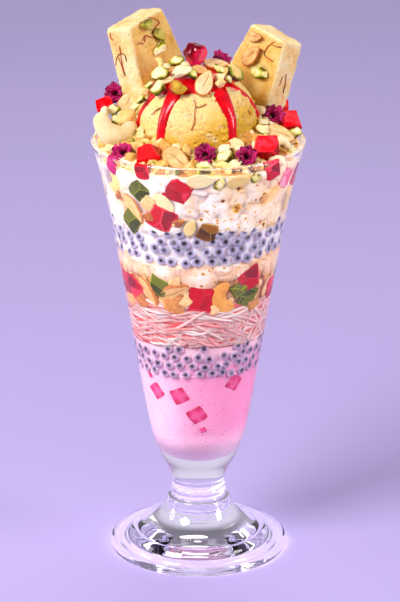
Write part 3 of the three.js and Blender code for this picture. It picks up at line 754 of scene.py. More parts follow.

# ---- Bed of jelly and nuts ----
# Cubes of red and green jelly, almond halves, cashews and chopped nuts, packed over the noodles. Each is a
# real body that lies against the wall, where the glass flattens its front; nut paste fills in behind them.
# The paste is painted dark brown in patches as the shade in the gaps between the pieces.
BED_PIECES = [  # kind, length, angle, height, spin or turns about across, up and out
    ("red", 10.4, -58.4, 131, -22),
    ("almond", 15.5, -42.3, 131.4, (50, 0, -58)),
    ("green", 9.4, -30.8, 135.6, -24),
    ("almond", 15.5, -18.4, 133.3, (52, 0, 26)),
    ("chunk", 9.6, -18.5, 127.6, -6),
    ("chunk", 5.4, -9.5, 129.8, 40),
    ("chunk", 5.6, -18, 139, 10),
    ("red", 12.2, 3.4, 130.7, -12),
    ("cashew", 17, 23.6, 131.6, -72),
    ("chunk", 6.4, 14.8, 125.8, 10),
    ("green", 7, 32.6, 134, 30),
    ("green", 8.8, 41, 129.5, -20),
    ("red", 11, 40.6, 138.3, 18),
    ("chunk", 6.6, 48, 124.6, 20),
    ("chunk", 7.4, -66, 124.8, 0),
    ("chunk", 6.6, -50, 126, 40),
    ("chunk", 5.5, -68, 138.6, 70),
    ("almond", 10, 62, 131, (40, 0, 70)),
]


LUMP_BEVEL, LUMP_GRAIN = 0.03, 0.16


def cut_lump(ways, reach, length, rng):
    """The body between flat cuts, each facing one way at its own reach, with its edges just broken.

    Its look, per face, carries the tone of the side, whether it is an edge, and the tint of the lump."""
    trios = np.array(list(combinations(range(len(ways)), 3)))
    trios = trios[np.abs(np.linalg.det(ways[trios])) > 0.05]
    tips = np.linalg.solve(ways[trios], reach[trios][..., None])[..., 0]
    tips = tips[(tips @ ways.T <= reach + 1e-6).all(axis=1)]
    lump = bmesh.new()
    for tip in tips:
        lump.verts.new(tip)
    bmesh.ops.remove_doubles(lump, verts=lump.verts, dist=0.02 * length)
    bmesh.ops.convex_hull(lump, input=lump.verts)
    bmesh.ops.dissolve_limit(lump, angle_limit=0.06, verts=lump.verts, edges=lump.edges)
    for number, face in enumerate(lump.faces):
        face.material_index = number + 1
    cut = {"offset": LUMP_BEVEL * length, "segments": 2, "profile": 0.5, "affect": "EDGES",
           "clamp_overlap": True}
    bmesh.ops.bevel(lump, geom=lump.edges[:], material=0, **cut)
    bmesh.ops.triangulate(lump, faces=lump.faces)
    for _ in range(2):
        long = [edge for edge in lump.edges if edge.calc_length() > LUMP_GRAIN * length]
        bmesh.ops.subdivide_edges(lump, edges=long, cuts=1)
        bmesh.ops.triangulate(lump, faces=lump.faces)
    bmesh.ops.recalc_face_normals(lump, faces=lump.faces)
    points = np.array([tuple(vert.co) for vert in lump.verts])
    faces = [[vert.index for vert in face.verts] for face in lump.faces]
    side = np.array([face.material_index for face in lump.faces])
    lump.free()
    tones = rng.permutation(np.linspace(0, 1, side.max() + 1))
    edge = (side == 0).astype(float)
    return points, faces, points / length, np.stack([tones[side], edge, 0 * edge + rng.random()], 1)


def jelly(length, rng):
    """A hand-cut lump of firm jelly: an uneven block with flat sides and some corners sliced off."""
    half = 0.5 * length * np.array([1, 0.9, 0.8])
    ways = np.vstack([np.eye(3), -np.eye(3)]) + rng.normal(0, 0.1, (6, 3))
    reach = np.tile(half, 2) * rng.uniform(0.9, 1.02, 6)
    corners = rng.choice([-1, 1], (5, 3)) * [1, 1, 1.2] + rng.normal(0, 0.3, (5, 3))
    ways = np.vstack([ways, corners])
    reach = np.append(reach, np.abs(corners) @ half * rng.uniform(0.58, 0.8, 5))
    return cut_lump(ways, reach, length, rng)


def wall_jelly(length, rng):
    """A lump of jelly on the wall: four upright sides, and two or three slanting faces in front."""
    side = np.radians([0, 90, 180, 270]) + rng.uniform(-0.16, 0.16, 4)
    sides = np.stack([np.cos(side), np.sin(side), rng.uniform(0.05, 0.3, 4)], 1)
    slant, lean = rng.uniform(0, 6.3) + np.array([0, 3.1, 1.5]), rng.uniform(0.3, 0.5, 3)
    fronts = np.stack([lean * np.cos(slant), lean * np.sin(slant), np.ones(3)], 1)
    nick = rng.choice([0.8, 2.36, 3.9, 5.5], 2, replace=False) + rng.normal(0, 0.15, 2)
    nicks = np.stack([np.cos(nick), np.sin(nick), rng.uniform(0.1, 0.5, 2)], 1)
    reach = np.concatenate([rng.uniform(0.45, 0.52, 4), [0.3, 0.3, 0.36], rng.uniform(0.54, 0.66, 2),
                            [0.3]])
    return cut_lump(np.vstack([sides, fronts, nicks, [0, 0, -1]]), reach * length, length, rng)


def almond(length, rng):
    """Half an almond: flat cut face up, domed skin below, point towards +X. Its look carries the skin."""
    t = turns(44)
    across = np.sign(np.sin(t)) * np.abs(np.sin(t)) ** 1.1
    outline = np.stack([0.5 * length * np.cos(t), 0.285 * length * across * (1 - 0.26 * np.cos(t))], 1)
    thick = 0.24 * length
    face = [(s, 0.02 * length * (1 - s**2)) for s in (0.08, 0.2, 0.34, 0.48, 0.6, 0.72, 0.82, 0.9, 0.955)]
    back = [(0.99, -0.05), (1.01, -0.2), (0.98, -0.42), (0.88, -0.64), (0.7, -0.82), (0.45, -0.94),
            (0.15, -1)]
    levels = face + [(s, z * thick) for s, z in back]
    rings = np.array([np.column_stack([outline * s, np.full(len(t), z)]) for s, z in levels])
    points, faces = ringed(rings)
    skin = np.repeat([0.0] * 7 + [0.4, 0.9] + [1.0] * 7, len(t))
    bend = 0.03 * length * np.sin(4 * points[:, 0] / length + rng.uniform(0, 6))
    reach = rng.uniform(0.12, 0.34) * length
    slit = np.exp(-(((points[:, 1] - bend) / (0.022 * length)) ** 2))
    slit = slit * (np.abs(points[:, 0] - 0.04 * length) < reach)
    on_face = np.append(skin, [0, 1]) < 0.3
    points[:, 2] -= 0.035 * length * slit * on_face
    points = worn(points, length, rng, (0.3, 0.03), (0.1, 0.008))
    skin = np.append(skin, [0, 1])
    own = points / length
    return points, faces, own, np.stack([skin, slit * on_face, np.full(len(skin), rng.random())], 1)


CASHEW_ARC = 205


def cashew(length, rng):
    """A cashew: a plump crescent open towards +Y, with the seam of its two halves round the outside."""
    bend, fat = 0.3 * length, 0.215 * length
    share = (1 - np.cos(np.linspace(0.06, 0.94, 34) * math.pi)) / 2
    angle = math.radians(-90 - CASHEW_ARC / 2) + math.radians(CASHEW_ARC) * share
    end = np.abs(2 * share - 1)
    swell = 1 + 0.1 * np.cos(3.2 * math.pi * (share - 0.5)) - 0.1 * (share - 0.5)
    thick = fat * swell * (1 - end**5.5) ** 0.5 * 0.93
    t = turns(30)
    seam = np.exp(-(((t - 0.75) / 0.16) ** 2)) + 0.7 * np.exp(-(((t - 5.6) / 0.14) ** 2))
    radius = thick[:, None] * (1 - 0.07 * seam[None])
    out = bend + radius * np.cos(t)
    x, y = out * np.cos(angle)[:, None], out * np.sin(angle)[:, None]
    points, faces = ringed(np.stack([x, y, 0.86 * radius * np.sin(t)], -1))
    points = worn(points, length, rng, (0.4, 0.03), (0.12, 0.006))
    groove = np.append(np.tile(seam, len(share)), [0, 0])
    tips = np.append(np.repeat(end, len(t)), [1, 1])
    own = points / length
    return points, faces, own, np.stack([groove, tips, np.full(len(groove), rng.random())], 1)


def chopped(points, cuts, rng, depths=(0.5, 0.85)):
    """Slices a body flat with some random cuts, and marks the points that lie on a cut."""
    on_cut = np.zeros(len(points))
    for _ in range(cuts):
        way = rng.normal(0, 1, 3)
        past = points @ (way / np.linalg.norm(way))
        past -= past.max() * rng.uniform(*depths)
        points = points - np.maximum(past, 0)[:, None] * way / np.linalg.norm(way)
        on_cut = np.where(past > 0, 1.0, on_cut)
    return points, on_cut


def chunk(length, rng):
    """A bit of chopped nut, with flat broken sides."""
    size = length * np.array([1, rng.uniform(0.65, 0.95), rng.uniform(0.55, 0.85)])
    cells = 5 if length > 3.5 else 2
    points, faces, place = block(size, 0.25 * size.min(), (cells, cells, cells))
    points, _ = chopped(points, 4, rng, (0.5, 0.8))
    points = worn(points, length, rng, (0.5, 0.14), (0.16, 0.03))
    look = np.full((len(points), 3), [rng.random(), rng.random(), rng.random()])
    return points, faces, place, look


def jelly_finish(name, deep, bright, lit, radius):
    """Clear set jelly: each side has a random tone, cloudy inside, with painted light on the palest sides
    and a painted highlight along the edges.
    """
    clear = {"Roughness": 0.18, "Subsurface Weight": 0.5, "Subsurface Scale": 0.004, "Coat Weight": 0.2}
    jelly = Finish(name, {**clear, "Specular IOR Level": 0.3, "Specular Tint": bright,
                          "Coat Roughness": 0.05, "Subsurface Radius": radius})
    inside = jelly.drift(0.7, 4, 2)
    tone = jelly.plus(jelly.mark("look", 0), inside)
    body = jelly.ramp(tone, [(0.08, deep), (0.4, bright), (0.76, bright), (0.92, lit)])
    # painted highlight: the edges are blended towards the lit colour
    jelly.paint(jelly.blend(jelly.times(jelly.mark("look", 1), 0.36), body, lit))
    return jelly


def nut_finish(name, stops, fine=2.0):
    """Bare nut flesh: each bit has its own tint, with darker flecks and a slight grain."""
    nut = soft_finish(name, 0.45, 0.2, 1.5, (1.0, 0.6, 0.3), 0.3)
    tone = nut.plus(nut.times(nut.mark("look", 2), 0.65), nut.times(nut.grain(fine), 0.5))
    nut.paint(nut.ramp(tone, stops))
    nut.bump(nut.grain(0.7, 4), 0.25)
    return nut


def almond_finish(name, flesh, rim):
    """Peach flesh with fine streaks along it, a brown line in the middle and a thin orange-brown skin."""
    nut = soft_finish(name, 0.38, 0.25, 1.5, (1.0, 0.6, 0.3))
    own = nut.attribute("own")
    along = nut.add("ShaderNodeMapping", {"Vector": own, "Scale": (5, 42, 12)}).outputs[0]
    streaks = nut.add("ShaderNodeTexNoise", {"Vector": along, "Scale": 1.0, "Detail": 3.0}).outputs["Fac"]
    tint = nut.times(nut.mark("look", 2), 0.25)
    cloud = nut.plus(nut.times(nut.grain(3, 2), 0.4), tint)
    face = nut.ramp(nut.plus(nut.times(streaks, 0.4), cloud), flesh)
    lined = nut.blend(nut.times(nut.steps(nut.mark("look", 1), 0.3, 0.9), 0.6), face, rim[0])
    skin = nut.ramp(streaks, [(0.3, rim[0]), (0.7, rim[1])])
    ragged = nut.plus(nut.mark("look", 0), nut.drift(0.9, 2.4, 3))
    nut.paint(nut.blend(nut.steps(ragged, 0.4, 0.85), lined, skin))
    nut.bump(streaks, 0.25)
    return nut


sunk_red = jelly_finish("sunk_red", colour(150, 0, 12), colour(208, 0, 16), colour(255, 60, 84),
                        (1.0, 0.08, 0.08))
green_jelly = jelly_finish("green_jelly", colour(66, 74, 2), colour(112, 116, 0), colour(172, 184, 20),
                           (0.6, 1.0, 0.1))
brown_line, orange_skin = colour(176, 96, 22), colour(236, 154, 54)
almond_flesh = [(0.3, 216, 150, 74), (0.5, 244, 198, 128), (0.7, 255, 230, 184)]
almond_nut = almond_finish("almond_nut", almond_flesh, (brown_line, orange_skin))
soaked_flesh = [(0.15, 222, 142, 44), (0.4, 248, 184, 86), (0.75, 255, 220, 140)]
soaked_cashew = nut_finish("soaked_cashew", soaked_flesh, 5)
bit_flesh = [(0.25, 176, 100, 30), (0.5, 230, 164, 84), (0.8, 252, 214, 156)]
soaked_bit = nut_finish("soaked_bit", bit_flesh, 1.4)
BED_KINDS = {
    "red": (wall_jelly, sunk_red, "red_jelly"),
    "green": (wall_jelly, green_jelly, "fruit_bed"),
    "almond": (almond, almond_nut, "almond"),
    "cashew": (cashew, soaked_cashew, "cashew"),
    "chunk": (chunk, soaked_bit, "fruit_bed"),
}


bed_rng = np.random.default_rng(41)
BED_CRUMBS = 130
behind_kinds = ["red", "almond", "cashew", "green", "red", "chunk", "cashew", "almond"]
for i, angle in enumerate(np.arange(74, 292, 13.5)):
    kind = behind_kinds[(3 * i) % 8]
    height = 130 + 4.2 * (i % 2) + bed_rng.normal(0, 0.9)
    spin = bed_rng.uniform(0, 360)
    BED_PIECES.append((kind, bed_rng.uniform(9.5, 13), angle, height, spin))
for _ in range(BED_CRUMBS):
    angle, height = bed_rng.uniform(0, 360), bed_rng.uniform(127, 140)
    BED_PIECES.append(("chunk", bed_rng.uniform(2, 4.6), angle, height, bed_rng.uniform(0, 360)))
wall_pieces("bed", BED_PIECES, BED_KINDS, "jelly_nut_bed", bed_rng)

nut_paste = soft_finish("nut_paste", 0.5, 0.2, 2)
# painted shade: the darkest browns of the paste stand for the shade in the gaps between the pieces
paste = [(0.32, 112, 48, 14), (0.5, 190, 116, 54), (0.7, 240, 194, 136)]
nut_paste.paint(nut_paste.ramp(nut_paste.grain(3, 3), paste))


def paste_lumps(angle, z):
    place = around(cavity_radius(z), angle, z) / 3.0
    return 0.5 * np.array([noise.noise(p) for p in place.reshape(-1, 3).tolist()]).reshape(z.shape)


bed_core = filling(lambda a: level("noodles", a, -0.1), lambda a: level("fruit", a, 2.5), 0.1, 24, 220,
                   paste_lumps)
show("bed_paste", mesh_of("bed_paste", bed_core), nut_paste, "fruit_bed", "jelly_nut_bed")

# ---- Lower cream ----
# Thick cream spooned in so that it hangs over the bed in rounded lobes. Creases between its lumps are
# painted in a darker shade colour and the lump tops near white as light; they hold golden flecks of saffron
# and nut.
CREAM_REACH = 0.2
CREAM_RELIEF = 1.5
CREAM_FADE = 2.2
CREAM_SIDES = 460
# angle, height, radius
LOWER_LOBES = [(-26.4, 144.2, 6.6), (0.8, 142.4, 8), (-62, 143, 4.8), (17.5, 146, 4.4), (62, 142, 5)]


def noise_of(places, size, seed):
    return np.array([noise.noise(p) for p in (places / size + seed).tolist()])


def bumps_of(places, size, seed):
    """Distances from each place to the middles of the bumps round it, nearest first, as shares of size."""
    return np.array([noise.voronoi(p)[0] for p in (places / size + seed).tolist()])


def curds(angle, z, lobes, seed, lump):
    """Relief of spooned cream from 0 to 1, and how much fleck each point holds."""
    flat = roughened(around(cavity_radius(z), angle, z).reshape(-1, 3), 5, 1.7, seed)
    big, small = bumps_of(flat, lump, seed), bumps_of(flat, 0.36 * lump, seed)
    height = np.sqrt(np.clip(1 - (big[:, 0] / 0.88) ** 2, 0.03, 1))
    knobs = np.sqrt(np.clip(1 - (small[:, 0] / 0.85) ** 2, 0.02, 1))
    patchy = noise_of(flat, 16, seed)
    height = 0.72 * height + 0.28 * knobs * np.clip(0.6 + patchy, 0, 1)
    fleck = np.clip(1 - (big[:, 2] - big[:, 0]) / 0.16, 0, 1) * (big[:, 0] > 0.45)
    height, fleck = height.reshape(z.shape), fleck.reshape(z.shape)
    for lobe_angle, lobe_z, radius in lobes:
        away = np.hypot(turn_from(lobe_angle, angle) * cavity_radius(z), z - lobe_z) / radius
        round_top = 1.15 * np.clip(1 - away**2, 0, 1) ** 0.45
        hanging = np.clip((lobe_z + 0.5 * radius - z) / (0.6 * radius), 0, 1)
        inside = np.clip((1.12 - away) / 0.2, 0, 1) * hanging
        height = height * (1 - inside) + (0.6 * round_top + 0.3 * height) * inside
        fleck = fleck * (1 - 0.8 * inside)
    return height, fleck


def cream_layer(name, low, high, rows, lobes, seed, lump=6.0, pieces=(), spots=()):
    """Cream between two levels, lumpy where it meets the wall. Its look: height, fleck and spot."""
    angle = turns(CREAM_SIDES)[None]
    share = np.linspace(0, 1, rows)[:, None]
    z = low(angle) * (1 - share) + high(angle) * share
    height, fleck = curds(angle + 0 * z, z, lobes, seed, lump)
    height = height * (0.2 + 0.8 * room_round(pieces, angle, z))
    spot = 0 * z
    ragged = 0.5 * noise_of(around(cavity_radius(z), angle, z).reshape(-1, 3), 1.1, seed).reshape(z.shape)
    for spot_angle, spot_z, radius, depth in spots:
        away = np.hypot((angle - math.radians(spot_angle)) * cavity_radius(z), z - spot_z) / radius + ragged
        spot = np.maximum(spot, depth * np.clip(1.3 - away, 0, 1))
    near_edge = np.minimum(z - low(angle) + 0.8 * bool(lobes[1:]), high(angle) - z) / CREAM_FADE
    shape = ringed(around(cavity_radius(z) + CREAM_REACH
                          + CREAM_RELIEF * height * np.clip(near_edge, 0, 1), angle, z))
    look = np.stack([height, fleck, spot], -1).reshape(-1, 3)
    return mesh_of(name, shape, {"look": np.vstack([look, np.zeros((2, 3))])})


def cream_finish(name, shade, body, saffron):
    """White cream: painted shade in the creases and painted light on the lump tops, warm patches where
    saffron has bled, golden flecks.
    """
    cream = soft_finish(name, 0.3, 0.25, 2, (1.0, 0.92, 0.85), 0.25)
    # painted shade and light: by the height of the relief, creases take the shade colour and lump tops turn
    # white
    halfway = tuple(0.4 * a + 0.6 * b for a, b in zip(shade, body))
    lump_light_and_shade = cream.ramp(cream.mark("look", 0),
                         [(0.08, shade), (0.4, halfway), (0.72, body), (1.0, 255, 253, 250)])
    across = cream.axes()["X"]
    sided = cream.times(cream.steps(across, 0.006, 0.038), 0.42)
    warm = cream.plus(cream.times(cream.steps(cream.grain(11, 3), 0.5, 0.72), 0.6), sided)
    warmed = cream.blend(warm, lump_light_and_shade, saffron)
    patchy = cream.times(cream.steps(cream.grain(10, 1), 0.4, 0.6),
                         cream.steps(cream.grain(1.9, 2), 0.6, 0.68))
    fleck = cream.maths("MAXIMUM", cream.times(cream.mark("look", 1), 0.55), patchy)
    golds = cream.ramp(cream.grain(1.3), [(0.36, 170, 96, 16), (0.5, 226, 162, 40), (0.7, 248, 206, 96)])
    dots = cream.times(cream.steps(cream.cells(3.4), 0.11, 0.05), 0.8)
    flecked = cream.blend(cream.maths("MAXIMUM", fleck, dots), warmed, golds)
    spot = cream.mark("look", 2)
    browns = cream.ramp(spot, [(0.3, 248, 206, 96), (0.6, 206, 140, 30), (0.85, 92, 42, 10)])
    cream.paint(cream.blend(cream.steps(spot, 0.12, 0.34), flecked, browns))
    return cream


def drooping(name, rise, lobes):
    """Lower edge of a cream layer: its level, pulled down where a lobe hangs over."""
    def edge(angle):
        z = level(name, angle, rise)
        for lobe_angle, lobe_z, radius in lobes:
            away = turn_from(lobe_angle, angle) * cavity_radius(lobe_z) / radius
            z = np.minimum(z, lobe_z - (radius + 0.6) * np.sqrt(np.clip(1.12 - away**2, 0, 1.12)))
        return z
    return edge


def spooned_top(angle):
    waves = 0.8 * np.sin(6 * angle + 2) + 0.6 * np.sin(15 * angle) + 0.4 * np.sin(29 * angle)
    return level("lower_cream", angle, 1.4) + waves


cream_rng = np.random.default_rng(5)
back_lobes = []
for angle in range(78, 286, 26):
    back_lobes.append((angle + cream_rng.normal(0, 6), 143.2 + cream_rng.normal(0, 1.3),
                       cream_rng.uniform(3.6, 8)))
lower_cream = cream_finish("lower_cream", colour(184, 126, 104), colour(250, 218, 190),
                           colour(248, 192, 112))
lower_edge = drooping("fruit", 1.2, LOWER_LOBES + back_lobes)
LOWER_SPOTS = [(-18.9, 146.5, 1.0, 0.7), (-2.5, 145.9, 1.2, 0.7), (18.2, 145.6, 0.8, 0.8)]
LOWER_SPOTS.append((-3.5, 141.4, 0.6, 0.6))
lobes = LOWER_LOBES + back_lobes
sizes = {"lump": 5.6, "pieces": [BED_PIECES[12]], "spots": LOWER_SPOTS}
cream_mesh = cream_layer("spooned_cream", lower_edge, spooned_top, 44, lobes, 3.1, **sizes)
show("spooned_cream", cream_mesh, lower_cream, "cream", "cream_lower")

# ---- Upper band of basil seeds ----
# The same soaked seeds, a little larger, in white milk. The band dips on the right where the jelly lies.
SEED_HALO_UPPER = 5.2


def upper_band_floor(angle):
    dip = np.exp(-(((np.degrees(angle) % 360 - 50) / 16) ** 2))
    return level("lower_cream", angle, -0.4) - 4.6 * dip + 1.6 * np.sin(2 * angle + 0.6)


def upper_band_top(angle):
    return level("upper_seeds", angle, 2.0) + 1.3 * np.sin(4 * angle + 1) + 0.9 * np.sin(13 * angle)


UPPER_PIECES = [
    ("red", 10.6, -11.4, 183.5, -24),
    ("red", 12.2, -23.2, 169.5, -27),
    ("red", 6.5, -32.3, 190.6, 10),
    ("green", 9.4, -36.6, 181.4, -40),
    ("green", 9.2, -47.5, 165.2, -42),
    ("almond", 15, -44, 171.3, (36, 0, -58)),
    ("amber", 8.8, 6.1, 163.9, -18),
    ("chunk", 4.8, 42.2, 176.7, 70),
    ("pistachio", 7, 11.8, 186.9, 80),
    ("pistachio", 6.4, 33.1, 188, -30),
    ("pale", 10, 22.6, 187.4, (10, 0, 8)),
    ("pale", 12, 1.1, 188.6, (10, 0, 6)),
    ("pale", 11, -20.4, 177, (10, 0, -40)),
    ("pale", 8.4, -5.1, 166, 70),
    ("pink", 9, 60, 183, 60),
    ("red", 7.6, 45.3, 189, 20),
    ("magenta", 6.5, -56, 189.2, 60),
    ("chunk", 7.4, -31, 176, 60),
    ("chunk", 5, -32, 169.4, 10),
    ("chunk", 5.4, -12.4, 168.3, 10),
    ("chunk", 5, -56, 176, 20),
    ("cashew", 13, -60.5, 182.4, 60),
    ("cashew", 12, 68, 172, 100),
]
upper_rng = np.random.default_rng(15)
white_milk = soft_finish("white_milk", 0.3, 0.25, 2)
milky = [(0.35, 244, 232, 236), (0.65, 255, 246, 238)]
fleck = white_milk.steps(white_milk.cells(3.0), 0.15, 0.07)
white_milk.paint(white_milk.blend(fleck, white_milk.ramp(white_milk.grain(5), milky), colour(206, 150, 70)))
upper_seed = seed_finish("upper_seed", colour(8, 2, 10), colour(158, 150, 176), colour(250, 242, 246))
spots = seed_spots(upper_band_floor, upper_band_top, SEED_HALO_UPPER, upper_rng, UPPER_PIECES)
band = seed_band("basil_seeds_high", spots, SEED_HALO_UPPER, upper_seed, upper_rng)
show("basil_seeds_high", band, upper_seed, "basil_seed", "basil_seeds_upper")
seed_milk = filling(lambda a: level("lower_cream", a, -0.3), lambda a: level("upper_seeds", a, -0.8), 0.12,
                    16, 180)
show("seed_milk_high", mesh_of("seed_milk_high", seed_milk), white_milk, "cream", "basil_seeds_upper")

# ---- Upper cream with fruit ----
# A deep layer of whipped cream and set milk. Jelly cubes, almond halves, pistachios and golden crumbs are
# stirred in and press on the wall; red syrup has run down inside at the right.
UPPER_SPECKS = 0.85
CREAM_CRUMBS = 60
UPPER_SPOTS = [  # angle, height, radius and depth of saffron spots
    (14.3, 178.8, 0.9, 1.3), (23.4, 184.1, 1.1, 1.2), (23.5, 174.3, 2.3, 0.75), (22.8, 174.9, 0.7, 1.3),
    (41.6, 178.6, 1.2, 1.1), (45.4, 163.9, 1.0, 1.2), (-4, 171.1, 0.8, 1), (-0.9, 170.4, 0.6, 1.1),
    (1.8, 170.2, 0.7, 1.1), (0.4, 174.4, 0.5, 0.8), (9.4, 172.9, 0.5, 0.7), (30.3, 168.7, 0.7, 0.7),
    (-7.3, 180.3, 0.6, 1), (19.1, 165, 0.6, 0.9), (-16.4, 176.5, 0.8, 1), (31, 176, 0.7, 0.6),
    (37, 171, 0.6, 0.7), (12, 166.4, 0.7, 0.8), (-22.5, 184.4, 0.7, 0.7),
]


PISTACHIO_CUTS = 4


def pistachio(length, rng):
    """A pistachio kernel: a plump oval, flat on top, with some knife cuts. Its look marks the cuts."""
    t = turns(26)
    half = 0.24 * length
    outline = np.stack([0.5 * length * np.cos(t), 0.3 * length * np.sin(t) * (1 - 0.16 * np.cos(t))], 1)
    levels = [(0.15, 1.0), (0.35, 1.01), (0.52, 1.0), (0.66, 0.97), (0.8, 0.86), (0.92, 0.6), (1.0, 0.25)]
    levels += [(1.0, -0.08), (0.94, -0.38), (0.8, -0.66), (0.58, -0.87), (0.28, -0.98)]
    rings = np.array([np.column_stack([outline * s, np.full(len(t), z * half)]) for s, z in levels])
    points, faces = ringed(rings)
    cut = np.append(np.repeat([1, 0.95, 0.85, 0.7, 0.5, 0.25, 0.1, 0, 0, 0, 0, 0], len(t)), [1, 0])
    points = worn(points, length, rng, (0.4, 0.12))
    points, on_cut = chopped(points, PISTACHIO_CUTS, rng, (0.6, 0.9))
    points = worn(points, length, rng, (0.16, 0.035))
    look = np.stack([np.maximum(cut, 0.85 * on_cut), on_cut, np.full(len(cut), rng.random())], 1)
    return points, faces, points / length, look


def pistachio_finish(name, flesh, skin, papery):
    """Pale cut flesh that turns green at its rim, green sides, and patches of papery skin."""
    nut = soft_finish(name, 0.34, 0.2, 1.2, (0.9, 1.0, 0.2), 0.3)
    cloud = nut.drift(0.7, 2.2, 3)
    tint = nut.times(nut.less(nut.mark("look", 2), 0.5), 0.35)
    depth = nut.plus(nut.mark("look", 0), nut.plus(cloud, tint))
    body = nut.ramp(depth,
                    [(0.02, skin[0]), (0.22, skin[1]), (0.48, skin[2]), (0.66, flesh[0]), (0.92, flesh[1])])
    patches = nut.times(nut.steps(nut.grain(3.1, 3), 0.54, 0.6), nut.steps(nut.mark("look", 0), 0.6, 0.3))
    nut.paint(nut.blend(nut.times(patches, 0.85), body, papery))
    nut.bump(nut.grain(0.5, 4, 0.6), 0.3)
    return nut


pale_flesh = (colour(226, 216, 100), colour(253, 242, 190))
green_skin = (colour(62, 70, 4), colour(116, 124, 10), colour(176, 174, 36))
papery_skin = colour(112, 48, 30)
pistachio_nut = pistachio_finish("pistachio_nut", pale_flesh, green_skin, papery_skin)
amber_jelly = jelly_finish("amber_jelly", colour(84, 48, 4), colour(156, 98, 6), colour(206, 160, 50),
                           (1.0, 0.6, 0.1))
pink_jelly = jelly_finish("pink_jelly", colour(238, 50, 100), colour(252, 104, 140), colour(255, 180, 196),
                          (1.0, 0.3, 0.4))
magenta_jelly = jelly_finish("magenta_jelly", colour(110, 0, 60), colour(200, 0, 110),
                             colour(230, 40, 150), (1.0, 0.1, 0.4))
pale_nut = nut_finish("pale_nut", [(0.3, 240, 210, 136), (0.7, 255, 238, 188)], 4)
UPPER_KINDS = {
    **BED_KINDS,
    "amber": (wall_jelly, amber_jelly, "fruit_bed"),
    "pink": (wall_jelly, pink_jelly, "red_jelly"),
    "magenta": (wall_jelly, magenta_jelly, "rosebud"),
    "pale": (almond, pale_nut, "cream"),
    "pistachio": (pistachio, pistachio_nut, "pistachio"),
}
for i, angle in enumerate(np.arange(76, 292, 12)):
    kind = ("red", "cashew", "green", "almond", "pistachio", "red", "pale")[(2 * i) % 7]
    height = (182, 170, 176.5, 183, 167)[i % 5] + upper_rng.normal(0, 1)
    spin = upper_rng.uniform(0, 360)
    UPPER_PIECES.append((kind, upper_rng.uniform(8.5, 12.5), angle, height, spin))
for _ in range(CREAM_CRUMBS):
    angle, height = upper_rng.uniform(0, 360), upper_rng.uniform(164, 189)
    UPPER_PIECES.append(("chunk", upper_rng.uniform(0.9, 1.9), angle, height, upper_rng.uniform(0, 360)))
wall_pieces("upper", UPPER_PIECES, UPPER_KINDS, "cream_upper", upper_rng, UPPER_SPECKS)

upper_cream = cream_finish("upper_cream", colour(166, 138, 154), colour(255, 247, 238),
                           colour(250, 206, 128))


def cream_floor(angle):
    waves = 0.9 * np.sin(7 * angle + 1) + 0.6 * np.sin(17 * angle) + 0.4 * np.sin(31 * angle)
    return level("upper_seeds", angle, -3.2) + waves


def cream_top(angle):
    return level("upper_cream", angle, 1.2)


big_pieces = [row for row in UPPER_PIECES if row[1] > SMALL_BIT]
sizes = {"lump": 4.8, "pieces": big_pieces, "spots": UPPER_SPOTS}
cream_mesh = cream_layer("whipped_cream", cream_floor, cream_top, 76, [(-5, 165, 3.6)], 8.4, **sizes)
show("whipped_cream", cream_mesh, upper_cream, "cream", "cream_upper")

# ---- Nut heap ----
# Chopped cashew, almond and pistachio packed in the mouth of the glass round the kulfi ball, highest behind
# it. Where it meets the wall, cream has soaked up between the nuts.
HEAP_WALL, HEAP_FRONT, HEAP_BACK, HEAP_BUMP = 191.4, 195.3, 205.5, 0.7
HEAP_INNER, HEAP_FOOT = 21.4, 188.4
RUBBLE_SIZE, RUBBLE_DEPTH = 4.6, 1.9
CASHEW_DIP, CASHEW_DIP_ANGLE = 1.6, 78  # the big cashew at the left lies in a dip


def heap_top(share, angle):
    """Height of the heap from the wall, share 0, in to the ball, share 1."""
    inner = HEAP_FRONT + (HEAP_BACK - HEAP_FRONT) * np.sqrt((1 - np.cos(angle)) / 2)
    bumps = HEAP_BUMP * np.sin(7 * angle + 9 * share) * np.cos(4 * angle - 5 * share)
    rise = np.sin(share * math.pi / 2) ** 1.25
    turn = (np.degrees(angle) + CASHEW_DIP_ANGLE + 180) % 360 - 180
    dip = CASHEW_DIP * np.exp(-((turn / 24) ** 2) - ((share - 0.35) / 0.3) ** 2)
    return HEAP_WALL + (inner - HEAP_WALL) * rise + bumps * np.minimum(1, 3 * share) - dip


def heap_radius(share):
    return cavity_radius(HEAP_WALL) * (1 - share) + HEAP_INNER * share


def rubble(flat, size, seed):
    """Packed bits about size millimetres across: their relief from 0 to 1, and a tint for each bit."""
    cells = [noise.voronoi(p) for p in (flat / size + seed).tolist()]
    near = np.array([cell[0][0] for cell in cells])
    middle = np.array([tuple(cell[1][0]) for cell in cells])
    return np.sqrt(np.clip(1 - (near / 0.8) ** 2, 0, 1)), (np.sin(middle @ [12.9, 78.2, 37.7]) * 437.5) % 1


heap_turns = turns(300)[None]
shares = np.linspace(0.015, 1, 44)[:, None]
surface = around(heap_radius(shares), heap_turns, heap_top(shares, heap_turns) - 0.9)
coarse, coarse_tint = rubble(surface.reshape(-1, 3), RUBBLE_SIZE, 1.5)
fine, _ = rubble(surface.reshape(-1, 3), 0.4 * RUBBLE_SIZE, 7)
relief = RUBBLE_DEPTH * (0.75 * coarse + 0.25 * fine - 0.45)
surface[..., 2] += relief.reshape(surface.shape[:2]) * np.minimum(1, 8 * shares)
wall_z = np.linspace(0, 1, 9)[:, None] * (surface[:1, :, 2] - 0.1 - HEAP_FOOT) + HEAP_FOOT
heap_side = around(cavity_radius(wall_z), heap_turns, wall_z)
side_relief, side_tint = rubble(heap_side.reshape(-1, 3), 0.8 * RUBBLE_SIZE, 3)
heap_side = around(cavity_radius(wall_z) + 0.15 + 0.8 * side_relief.reshape(wall_z.shape), heap_turns,
                   wall_z)
